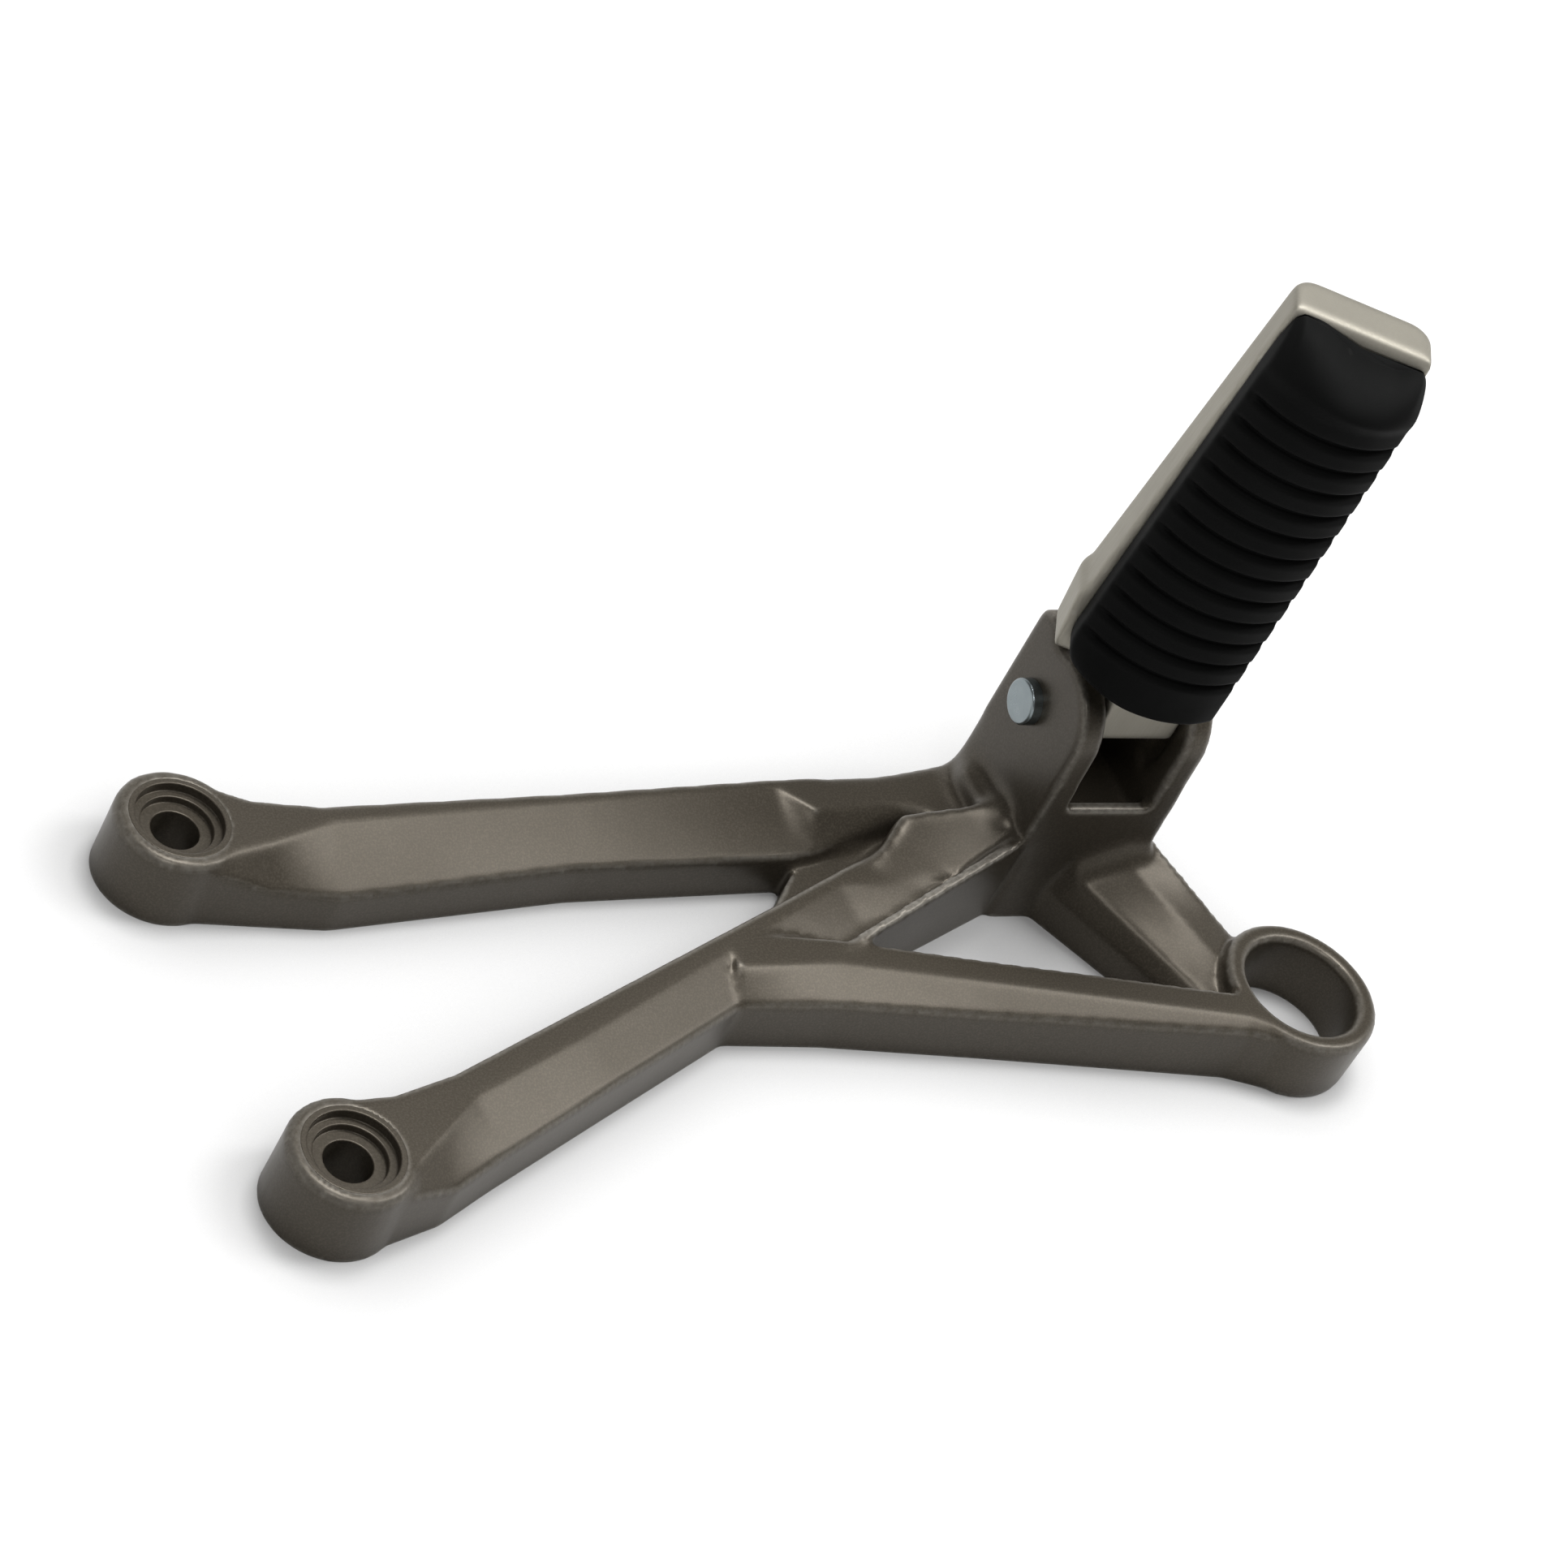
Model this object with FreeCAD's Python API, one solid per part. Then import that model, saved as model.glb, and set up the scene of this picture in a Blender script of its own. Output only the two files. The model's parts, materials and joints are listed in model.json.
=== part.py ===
import FreeCAD, Part
import math
import os
from FreeCAD import Vector

os.makedirs("parts", exist_ok=True)

# Folding rear footrest, millimetres and degrees.
# Z is up from the mounting back of the bracket, X is the way the pivot pin runs,
# the origin is the axis of the first bolt eyelet on the back plane.

# Bracket casting: bars, eyelets and hanger ring
BAR_T = 14.6
EYE_A = (0.0, 0.0)
EYE_B = (9.5, -72.9)
EYE_R = 11.6
EYE_DRAFT = 0.4
BOLT_HOLE_R = 4.4
BOLT_LIP = 2.2
BOLT_SEAT = 1.5
BOLT_SEAT_DEPTH = 2.0
BOLT_LIP_DEPTH = 1.2
RING_AT = (220.4, -44.5)
RING_BORE_R = 12.0
RING_WALL = 4.2
EDGE_SOFT = 0.9
RIDGE_SOFT = 2.0

# Bar sections as (share of the way along, near side, far side, flat top width, near wall height)
ARM_A = [
    (0.000, -11.2, 11.2, 21.2, 13.6),
    (0.099, -13.2, 3.8, 10.4, 9.0),
    (0.185, -14.9, 1.8, 4.0, 8.6),
    (0.512, -11.4, 2.7, 2.2, 9.4),
    (0.819, -11.6, 4.3, 2.0, 9.8),
    (0.859, -10.7, 4.4, 8.5, 9.6),
    (1.000, -5.0, 5.0, 8.0, 13.6),
]
ARM_B = [
    (0.000, -11.2, 11.2, 21.2, 13.6),
    (0.095, -13.0, 5.7, 11.0, 9.6),
    (0.182, -11.9, 4.1, 5.4, 10.4),
    (0.359, -10.4, 4.4, 5.1, 11.0),
    (0.752, -7.2, 5.1, 2.9, 11.0),
    (0.845, -6.9, 5.4, 2.2, 11.2),
    (0.990, -6.3, 6.2, 11.9, 14.0),
    (1.000, -6.3, 6.2, 11.9, 14.0),
]
STRUT_C = [
    (0.000, -9.5, 5.0, 8.0, 11.0),
    (0.169, -8.8, 5.4, 6.0, 11.6),
    (0.438, -9.7, 2.1, 5.6, 11.8),
    (0.872, -11.7, -2.5, 5.8, 13.0),
    (0.950, -14.1, -2.7, 9.4, 13.6),
]
STRUT_C_START = 0.63
BACK_TRIM = 1.0

# Short strut: plan ends from the ring axis, then its upper edges as (distance from the inner side, height)
# and how far the hollow fillet at its root climbs the clevis over each edge
STRUT_D_WIDTH = 20.8
STRUT_D_LOW = (-19.9, -2.5)
STRUT_D_HIGH = (-5.5, 14.5)
STRUT_D_HUB = [(0.0, 7.6), (2.6, 13.6), (11.4, 19.2), (20.8, 21.8)]
STRUT_D_RING = [(0.0, 6.6), (2.6, 9.8), (12.2, 11.4), (22.3, 10.4)]
ROOT_RISE = [2.0, 8.0, 7.4, 4.6]
ROOT_OUT = 3.0
ROOT_HOLLOW = 1.0

# Clevis with two ears, heights and reaches taken from the pin
CLEVIS_X = 166.0
CLEVIS_W = 30.4
EAR_T = 5.6
PIN_Y = 5.1
PIN_Z = 41.0
EAR_REACH = 18.3
EAR_UNDERCUT = 3.6
EAR_RISE = 16.4
EAR_BACK_R = 3.0
EAR_NOTCH = 2.9
EAR_FRONT_R = 12.2
EAR_FRONT_IN = 5.0
EAR_FRONT_UP = 2.5
EAR_TOP_FLAT = 1.5
BACK_WALL_T = 4.4
BACK_WALL_RISE = 8.0
FLOOR_DROP = 15.6
SHELF_T = 2.6
SHELF_DROP = 10.6

# Hub between the arms and the clevis: plan points from the clevis side and the pin axis
HUB_RISE = 6.2
HUB_IN = 2.0
TRENCH_FLOOR = 7.0
ARM_A_END = (-16.0, 1.5)
ARM_B_END = (-17.0, -14.8)
WEB = [(-42.0, -12.1), (-42.0, 3.9), (-16.0, 5.9), (2.0, 9.4), (2.0, -14.6), (-48.0, -38.1), (-55.0, -26.7)]
BACK_WEB = [(-17.0, -3.7), (-17.0, 6.4), (2.0, 10.1), (2.0, -9.1)]
SADDLE = [(-28.0, -17.1, 0.6, -14.1, 1.0), (-15.0, -20.0, 0.6, -6.7, 3.9), (2.0, -17.0, 5.4, -11.8, 7.7)]
SPINE_LOW = [(-48.0, -39.7), (-48.5, -38.1)]
SPINE_HIGH = [(2.0, -17.5), (1.4, -15.3)]
SPINE_DIP = 0.4
RIB = [(8.6, 0.8, 4.4, 3.4), (2.1, 3.9, 6.6, 5.4), (-12.6, 3.9, 8.3, 7.2)]

# Pivot pin and its keepers
PIN_R = 3.0
PIN_HEAD_LIP = 1.5
PIN_HEAD_T = 2.4
PIN_TAIL = 5.6
PIN_SOFT = 0.6
RUN_GAP = 0.05
SIDE_GAP = 0.35
WASHER_LIP = 3.2
WASHER_T = 1.4
WASHER_GAP = 0.25
SPLIT_R = 0.75
SPLIT_WIRE_R = 0.6
SPLIT_GAP = 0.05
SPLIT_EYE_R = 1.9
SPLIT_LEG = 4.5
SPLIT_SPREAD = 50.0
SPLIT_OUT = 0.9

# Footpeg
PEG_TWIST = 28.6
PEG_X_SHIFT = -3.8
PEG_Y_SHIFT = -12.9
PEG_GAP = 2.6
PEG_LENGTH = 86.5
PEG_LEFT_FOOT = 16.5
PEG_LEFT_SHOULDER = 18.0
PEG_LEFT_NECK = 17.1
PEG_LEFT_TIP = 14.1
PEG_RIGHT_FOOT = 14.6
PEG_RIGHT_TIP = 12.8
PEG_LEAN = 3.2
PEG_TIP_SOFT = 1.3
SHOULDER_UP = 13.0
SHOULDER_RUN = 2.0
PEG_BACK_T = 10.6
PEG_BACK_FOOT_T = 13.6
PEG_CORNER_R = 4.5
SHELL_DROP = 0.4
GUSSET_RISE = 13.0
GUSSET_UP = 20.0
GUSSET_T = 3.0
TONGUE_FRONT = 13.4
TAIL_WALL = 2.4
TONGUE_NOSE_RISE = 4.0
STOP_GAP = 0.35

# Ribbed rubber pad and what holds it
PAD_LIP = 1.4
PAD_HALF_FOOT = 15.9
PAD_HALF_TIP = 14.0
PAD_SIDE = 5.0
PAD_SWELL = 1.5
PAD_SWELL_IN = 9.0
PAD_SWELL_RUN = 3.5
PAD_CROWN = 11.8
PAD_TIP_ROUND = 6.0
RIB_START = 10.0
RIB_PITCH = 5.45
GROOVE_W = 1.7
GROOVE_DEPTH = 1.7
CORE_T = 2.5
CORE_W = 18.0
CORE_IN = 2.6
CORE_END = 8.0
SCREW_R = 2.5
SCREW_GAP = 0.3
SCREW_PAST = 1.0
SCREW_HEAD_LIP = 1.9
SCREW_HEAD_T = 3.2
SCREW_SOFT = 0.6
SCREW_SOCKET_R = 1.9
SCREW_SOCKET_DEPTH = 1.8
SCREW_END = 14.0
PAD_WASHER_LIP = 2.9
PAD_WASHER_T = 1.0
SEAT_IN = 0.4
THREAD_GAP = 0.05

# Detent ball and spring
BALL_R = 2.4
BALL_OUT = 1.0
BALL_GAP = 0.1
DETENT_DY = -6.0
DETENT_DZ = 8.6
DETENT_DEPTH = 12.5
TRACK_CLEAR = 0.35
TRACK_PAST = 20.0
SPRING_WIRE_R = 0.35
SPRING_TURNS = 4
FOLD_MAX = 75.0

# Worked out from the sizes above
RING_R = RING_BORE_R + RING_WALL
CLEVIS_END = CLEVIS_X + CLEVIS_W
CLEVIS_MID = CLEVIS_X + CLEVIS_W / 2
SLOT_LO = CLEVIS_X + EAR_T
SLOT_HI = CLEVIS_END - EAR_T
TONGUE_LO = SLOT_LO + SIDE_GAP
TONGUE_HI = SLOT_HI - SIDE_GAP
TONGUE_TAIL_R = PIN_R + TAIL_WALL
EAR_BACK = PIN_Y + TONGUE_TAIL_R + STOP_GAP + BACK_WALL_T
EAR_FRONT = PIN_Y - EAR_REACH
EAR_TOP = PIN_Z + EAR_RISE
FLOOR_Z = PIN_Z - FLOOR_DROP
SHELF_Z = PIN_Z - SHELF_DROP
HUB_TOP = BAR_T + HUB_RISE
PEG_FOOT_Z = EAR_TOP + PEG_GAP
PEG_TIP_Z = PEG_FOOT_Z + PEG_LENGTH
PAD_TOP_Z = PEG_TIP_Z - PAD_LIP
SWELL_Z = PEG_TIP_Z - PAD_SWELL_IN
SCREW_HEAD_R = SCREW_R + SCREW_HEAD_LIP
PAD_WASHER_R = SCREW_R + PAD_WASHER_LIP
X_AXIS = Vector(1, 0, 0)
Y_AXIS = Vector(0, 1, 0)
Z_AXIS = Vector(0, 0, 1)
NEAR = 0.01


def save(shape, name):
    shape.exportStep("parts/" + name + ".step")


def polygon(points):
    return Part.makePolygon(points + [points[0]])


def rounded(corners):
    """Closed wire through (point, radius) corners; a radius of zero leaves the corner sharp."""
    count = len(corners)
    ends = []
    arcs = []
    for i in range(count):
        point, radius = corners[i]
        to_last = (corners[i - 1][0] - point).normalize()
        to_next = (corners[(i + 1) % count][0] - point).normalize()
        half = to_last.getAngle(to_next) / 2
        run = radius / math.tan(half)
        middle = (to_last + to_next).normalize() * (radius / math.sin(half) - radius)
        ends.append((point + to_last * run, point + to_next * run))
        if radius > 0:
            arcs.append(Part.Arc(ends[i][0], point + middle, ends[i][1]).toShape())
        else:
            arcs.append(None)
    edges = []
    for i in range(count):
        if arcs[i] is not None:
            edges.append(arcs[i])
        edges.append(Part.makeLine(ends[i][1], ends[(i + 1) % count][0]))
    return Part.Wire(edges)


def prism(plan, z0, z1):
    """Upright prism over a plan outline."""
    return Part.Face(polygon([Vector(x, y, z0) for x, y in plan])).extrude(Vector(0, 0, z1 - z0))


def side_prism(corners, x0, x1):
    """Prism along X over a side outline given as (y, z, corner radius)."""
    wire = rounded([(Vector(x0, y, z), radius) for y, z, radius in corners])
    return Part.Face(wire).extrude(Vector(x1 - x0, 0, 0))


def tube_x(radius, x0, x1, y=PIN_Y, z=PIN_Z):
    return Part.makeCylinder(radius, x1 - x0, Vector(x0, y, z), X_AXIS)


def fuse_all(solids):
    return solids[0].multiFuse(solids[1:]).removeSplitter()


def loft_of(outlines):
    """Solid with flat or ruled sides through closed outlines."""
    return Part.makeLoft([polygon(points) for points in outlines], True, True)


def from_hub(dx, dy, z=0.0):
    """Point given from the clevis side and the pin axis."""
    return Vector(CLEVIS_X + dx, PIN_Y + dy, z)


def flat_point(at):
    return Vector(at[0], at[1], 0)


def bar_section(middle, side, near, far, flat, wall):
    """Bar section: upright walls, a flat top strip and one sloped face, all softened."""
    low_near = middle + side * near
    low_far = middle + side * far
    ridge = low_far - side * flat
    up = Vector(0, 0, BAR_T)
    down = Vector(0, 0, -BACK_TRIM)
    corners = [
        (low_near + down, 0),
        (low_near + Vector(0, 0, wall), EDGE_SOFT),
        (ridge + up, RIDGE_SOFT),
        (low_far + up, EDGE_SOFT),
        (low_far + down, 0),
    ]
    return rounded(corners)


def bar(start, end, sections):
    """Cast bar from one plan point to another."""
    way = end - start
    side = Z_AXIS.cross(way).normalize()
    wires = [bar_section(start + way * share, side, *sizes) for share, *sizes in sections]
    return Part.makeLoft(wires, True, True)


def bars():
    """Two arms to the eyelets and the long strut from the lower arm to the ring."""
    foot_a = flat_point(EYE_A)
    foot_b = flat_point(EYE_B)
    end_b = from_hub(*ARM_B_END)
    branch = foot_b + (end_b - foot_b) * STRUT_C_START
    return [
        bar(foot_a, from_hub(*ARM_A_END), ARM_A),
        bar(foot_b, end_b, ARM_B),
        bar(branch, flat_point(RING_AT), STRUT_C),
    ]


def eyelet_boss(at):
    """Tapered boss with a broken top edge."""
    boss = Part.makeCone(EYE_R + EYE_DRAFT, EYE_R, BAR_T, flat_point(at))
    top = [e for e in boss.Edges if e.BoundBox.ZMin > BAR_T - NEAR]
    return boss.makeChamfer(EDGE_SOFT, top)


def eyelet_hole(at):
    """Bolt hole with the two-step seat seen from above."""
    foot = flat_point(at)
    seat_z = BAR_T - BOLT_SEAT_DEPTH
    lip_z = seat_z - BOLT_LIP_DEPTH
    hole = Part.makeCylinder(BOLT_HOLE_R, BAR_T, foot)
    lip = Part.makeCylinder(BOLT_HOLE_R + BOLT_LIP, BAR_T - lip_z, foot + Vector(0, 0, lip_z))
    seat = Part.makeCylinder(BOLT_HOLE_R + BOLT_LIP + BOLT_SEAT, BOLT_SEAT_DEPTH, foot + Vector(0, 0, seat_z))
    return hole.fuse([lip, seat])


def hanger_ring():
    ring = Part.makeCylinder(RING_R, BAR_T, flat_point(RING_AT))
    rims = [e for e in ring.Edges if len(e.Vertexes) == 1]
    return ring.makeChamfer(EDGE_SOFT, rims)


def ring_bore():
    foot = flat_point(RING_AT)
    bore = Part.makeCylinder(RING_BORE_R, BAR_T, foot)
    mouth_z = Vector(0, 0, BAR_T - EDGE_SOFT)
    mouth = Part.makeCone(RING_BORE_R, RING_BORE_R + EDGE_SOFT, EDGE_SOFT, foot + mouth_z)
    return bore.fuse(mouth)


def strut_edges(low, way, edges):
    """Upper corner points of the short strut at one of its ends."""
    share = way.Length / edges[-1][0]
    step = Vector(way).normalize() * share
    return [low + step * out + Vector(0, 0, height) for out, height in edges]


def strut_hub_edges():
    inner = Vector(CLEVIS_END - STRUT_D_WIDTH, EAR_FRONT + EAR_UNDERCUT, 0)
    return strut_edges(inner, X_AXIS * STRUT_D_WIDTH, STRUT_D_HUB)


def strut_ring_edges():
    low = flat_point(RING_AT) + flat_point(STRUT_D_LOW)
    high = flat_point(RING_AT) + flat_point(STRUT_D_HIGH)
    return strut_edges(low, high - low, STRUT_D_RING)


def strut_section(upper):
    """Section of the short strut: upright sides, a steep inner face and two shallow upper faces."""
    first = Vector(upper[0].x, upper[0].y, -BACK_TRIM)
    last = Vector(upper[3].x, upper[3].y, -BACK_TRIM)
    radii = [EDGE_SOFT, RIDGE_SOFT, RIDGE_SOFT, EDGE_SOFT]
    return rounded([(first, 0)] + list(zip(upper, radii)) + [(last, 0)])


def strut_d():
    """Short strut from the clevis front to the ring, its top tilted at the hub."""
    return Part.makeLoft([strut_section(strut_hub_edges()), strut_section(strut_ring_edges())], True, True)


def root_wire(start, end, rise):
    """Upright outline of the hollow root fillet over one edge of the short strut."""
    way = (end - start) / (start.y - end.y)
    up = Vector(0, 0, rise)
    down = Vector(0, 0, -ROOT_OUT)
    wall = start + Vector(way.x, way.y, 0) * EAR_UNDERCUT + up
    tip = start + way * (EAR_UNDERCUT + ROOT_OUT)
    hollow = (wall + tip) / 2 - Vector(way.x, way.y, 1) * ROOT_HOLLOW
    edges = [
        Part.makeLine(start + down, start + up),
        Part.makeLine(start + up, wall),
        Part.Arc(wall, hollow, tip).toShape(),
        Part.makeLine(tip, tip + down),
        Part.makeLine(tip + down, start + down),
    ]
    return Part.Wire(edges)


def strut_root():
    """Hollow fillet between the top of the short strut and the clevis front, flush with its side."""
    ends = zip(strut_hub_edges(), strut_ring_edges(), ROOT_RISE)
    fillet = Part.makeLoft([root_wire(*edge) for edge in ends], True, True)
    return fillet.common(Part.makeBox(CLEVIS_W, CLEVIS_W, EAR_TOP, Vector(CLEVIS_X, EAR_FRONT - CLEVIS_W / 2, 0)))


def ear_outline():
    """Side outline of an ear: upright back, notched top, round front corner, long slant."""
    notch = EAR_TOP - EAR_NOTCH
    round_y = PIN_Y - EAR_FRONT_IN
    round_z = PIN_Z + EAR_FRONT_UP
    return [
        (EAR_BACK, 0.0, 0),
        (EAR_BACK, EAR_TOP, EAR_BACK_R),
        (EAR_BACK - 2 * EAR_BACK_R, EAR_TOP, EAR_BACK_R / 3),
        (EAR_BACK - 2 * EAR_BACK_R - EAR_NOTCH, notch, EAR_BACK_R),
        (round_y + EAR_TOP_FLAT, round_z + EAR_FRONT_R, EDGE_SOFT),
        (round_y - EAR_FRONT_R, round_z + EAR_FRONT_R, EAR_FRONT_R),
        (EAR_FRONT, SHELF_Z, 0),
        (EAR_FRONT, HUB_TOP, 0),
        (EAR_FRONT + EAR_UNDERCUT, 0.0, 0),
    ]


def ear(x0):
    solid = side_prism(ear_outline(), x0, x0 + EAR_T)
    rim = [e for e in solid.Edges if e.BoundBox.XLength < NEAR and e.BoundBox.ZMax > SHELF_Z + NEAR]
    return solid.makeFillet(EDGE_SOFT, rim)


def clevis():
    """Base block, two ears, stop wall at the back and a low shelf at the front."""
    base_outline = [
        (EAR_BACK, 0.0, 0),
        (EAR_BACK, FLOOR_Z, 0),
        (EAR_FRONT, FLOOR_Z, 0),
        (EAR_FRONT, HUB_TOP, 0),
        (EAR_FRONT + EAR_UNDERCUT, 0.0, 0),
    ]
    base = side_prism(base_outline, CLEVIS_X, CLEVIS_END)
    inside = CLEVIS_W - EAR_T
    wall = Part.makeBox(inside, BACK_WALL_T, PIN_Z + BACK_WALL_RISE)
    wall.translate(Vector(CLEVIS_X + EAR_T / 2, EAR_BACK - BACK_WALL_T, 0))
    shelf = Part.makeBox(inside, SHELF_T, SHELF_Z)
    shelf.translate(Vector(CLEVIS_X + EAR_T / 2, EAR_FRONT, 0))
    return [base, wall, shelf, ear(CLEVIS_X), ear(SLOT_HI)]


def upright(dx, low, low_rise, high, high_rise):
    """Upright outline across the hub, its top sloped between two heights over the bars."""
    low_top = from_hub(dx, low, BAR_T + low_rise)
    high_top = from_hub(dx, high, BAR_T + high_rise)
    return [from_hub(dx, low), low_top, high_top, from_hub(dx, high)]


def wall_end(pair, top):
    """Upright end outline of a thin wall from two plan points."""
    first, second = pair
    return [from_hub(*first), from_hub(*first, top), from_hub(*second, top), from_hub(*second)]


def ear_rib():
    """Ledge along the foot of the near ear, from the back corner to the saddle."""
    outlines = []
    for dy, out, rise, edge_rise in RIB:
        inner = from_hub(HUB_IN, dy, BAR_T + rise)
        edge = from_hub(-out, dy, BAR_T + edge_rise)
        outlines.append([from_hub(HUB_IN, dy), inner, edge, from_hub(-out, dy)])
    return loft_of(outlines)


def hub():
    """Low web between the arms, rising saddle, front wall and the rib at the ear foot."""
    web = prism([from_hub(*at)[:2] for at in WEB], 0.0, TRENCH_FLOOR)
    back = prism([from_hub(*at)[:2] for at in BACK_WEB], 0.0, BAR_T)
    saddle = loft_of([upright(*section) for section in SADDLE])
    spine = loft_of([wall_end(SPINE_LOW, BAR_T - SPINE_DIP), wall_end(SPINE_HIGH, HUB_TOP + SPINE_DIP)])
    return [web, back, saddle, spine, ear_rib()]


def bracket():
    """One casting: arms, struts, eyelets, ring, hub and clevis."""
    solids = bars() + [strut_d(), strut_root(), hanger_ring(), eyelet_boss(EYE_A), eyelet_boss(EYE_B)]
    body = fuse_all(solids + hub() + clevis())
    cuts = [below_back(body), eyelet_hole(EYE_A), eyelet_hole(EYE_B), ring_bore()]
    cuts.append(tube_x(PIN_R + RUN_GAP, CLEVIS_X, CLEVIS_END))
    cuts.append(detent_track())
    return body.cut(cuts).removeSplitter()


def below_back(body):
    """Block under the back plane, which leaves the back of the casting flat."""
    room = body.BoundBox
    block = Part.makeBox(room.XLength, room.YLength, 2 * BACK_TRIM)
    block.translate(Vector(room.XMin, room.YMin, -2 * BACK_TRIM))
    return block


def detent_track():
    """Shallow arc groove in the inner face of the right ear for the ball to run in."""
    reach = math.hypot(DETENT_DY, DETENT_DZ)
    deep = SLOT_HI + BALL_OUT - SIDE_GAP + TRACK_CLEAR
    half = math.sqrt(BALL_R ** 2 - (BALL_R - BALL_OUT) ** 2) + TRACK_CLEAR
    start = math.degrees(math.atan2(DETENT_DZ, DETENT_DY)) - TRACK_PAST
    inner = PIN_Y + reach - half
    outer = PIN_Y + reach + half
    mouth = SLOT_HI - NEAR
    corners = [(mouth, inner), (mouth, outer), (deep, outer), (deep, inner)]
    slot = Part.Face(polygon([Vector(x, y, PIN_Z) for x, y in corners]))
    slot.rotate(Vector(0, PIN_Y, PIN_Z), X_AXIS, start)
    return slot.revolve(Vector(0, PIN_Y, PIN_Z), X_AXIS, FOLD_MAX + 2 * TRACK_PAST)


def peg_place(shape):
    """Turn a footpeg solid from its own frame to its place over the pin."""
    turned = shape.copy()
    turned.rotate(Vector(0, 0, 0), Z_AXIS, -PEG_TWIST)
    turned.translate(Vector(CLEVIS_MID + PEG_X_SHIFT, PIN_Y + PEG_Y_SHIFT, 0))
    return turned


def along(z, foot, tip):
    """Value that runs evenly from the foot of the footpeg to its tip."""
    return foot + (tip - foot) * (z - PEG_FOOT_Z) / PEG_LENGTH


def outline(runs, z):
    """Closed outline in the footpeg frame from straight runs (2 points) and arcs (3 points)."""
    lean = along(z, -PEG_LEAN, 0.0)
    edges = []
    for run in runs:
        points = [Vector(u + lean, v, z) for u, v in run]
        if len(points) == 2:
            edges.append(Part.makeLine(points[0], points[1]))
        else:
            edges.append(Part.Arc(points[0], points[1], points[2]).toShape())
    return Part.Wire(edges)


def back_section(z, left):
    """Back shell section, flat in front and rounded behind, with the given reach to the left."""
    right = along(z, PEG_RIGHT_FOOT, PEG_RIGHT_TIP)
    b = along(z, PEG_BACK_FOOT_T, PEG_BACK_T)
    lean = Vector(along(z, -PEG_LEAN, 0.0), 0, z)
    corners = [(-left, 0, 0), (right, 0, 0), (right, b, PEG_CORNER_R), (-left, b, PEG_CORNER_R)]
    return rounded([(Vector(u, v, 0) + lean, radius) for u, v, radius in corners])


def pad_section(z, trim, swell=0.0):
    """Rubber section: flat back, short sides and a round crown."""
    h = along(z, PAD_HALF_FOOT, PAD_HALF_TIP) - trim
    s = PAD_SIDE - trim
    c = PAD_CROWN - trim + swell
    runs = [[(-h, 0), (h, 0)], [(h, 0), (h, -s)], [(h, -s), (0, -c), (-h, -s)], [(-h, -s), (-h, 0)]]
    return outline(runs, z)


def pad_blank():
    """Pad without grooves: crown swelling near the tip and rounded over at the end."""
    sections = [
        pad_section(PEG_FOOT_Z, 0),
        pad_section(SWELL_Z - PAD_SWELL_RUN, 0),
        pad_section(SWELL_Z, 0, PAD_SWELL),
        pad_section(PAD_TOP_Z, 0, PAD_SWELL),
    ]
    blank = Part.makeLoft(sections, True, True)
    crown = [e for e in blank.Edges if e.BoundBox.ZMin > PAD_TOP_Z - NEAR and e.BoundBox.YMin < -PAD_CROWN]
    return blank.makeFillet(PAD_TIP_ROUND, crown)


def groove_heights():
    """Heights of the grooves, as many as fit between the smooth foot band and the swell."""
    first = PEG_FOOT_Z + RIB_START
    count = int((SWELL_Z - PAD_SWELL_RUN - first) / RIB_PITCH) + 1
    return [first + i * RIB_PITCH for i in range(count)]


def pad_grooves():
    """Cross grooves between the ribs, cut to one depth all round the crown."""
    foot = pad_section(PEG_FOOT_Z - GROOVE_W, GROOVE_DEPTH)
    core = Part.makeLoft([foot, pad_section(PEG_TIP_Z, GROOVE_DEPTH)], True, True)
    slabs = []
    for z in groove_heights():
        slab = Part.makeBox(4 * PAD_HALF_FOOT, PAD_CROWN, GROOVE_W)
        slab.translate(Vector(-2 * PAD_HALF_FOOT, GROOVE_DEPTH - PAD_CROWN - PAD_SIDE, z - GROOVE_W / 2))
        slabs.append(slab.cut(core))
    return slabs


def seat_at(z):
    """Depth of the flat washer seat cut in the sloping back of the shell."""
    return along(z + PAD_WASHER_R, PEG_BACK_FOOT_T, PEG_BACK_T) - SEAT_IN


def screw_heights():
    return [PEG_FOOT_Z + CORE_END + SCREW_END, PEG_TIP_Z - CORE_END - SCREW_END]


def rod_v(radius, z, v0, v1):
    """Round rod across the footpeg, in its own frame."""
    return Part.makeCylinder(radius, v1 - v0, Vector(0, v0, z), Y_AXIS)


def core_plate():
    plate = Part.makeBox(CORE_W, CORE_T, PEG_LENGTH - 2 * CORE_END)
    plate.translate(Vector(-CORE_W / 2, -CORE_IN - CORE_T, PEG_FOOT_Z + CORE_END))
    return plate


def rubber_pad():
    deep = CORE_IN + CORE_T + 2 * SCREW_PAST
    holes = [core_plate()] + [rod_v(SCREW_R + SCREW_GAP, z, -deep, 0.0) for z in screw_heights()]
    return peg_place(pad_blank().cut(pad_grooves() + holes))


def pad_core():
    holes = [rod_v(SCREW_R + THREAD_GAP, z, -CORE_IN - CORE_T, -CORE_IN) for z in screw_heights()]
    return peg_place(core_plate().cut(holes))


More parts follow.
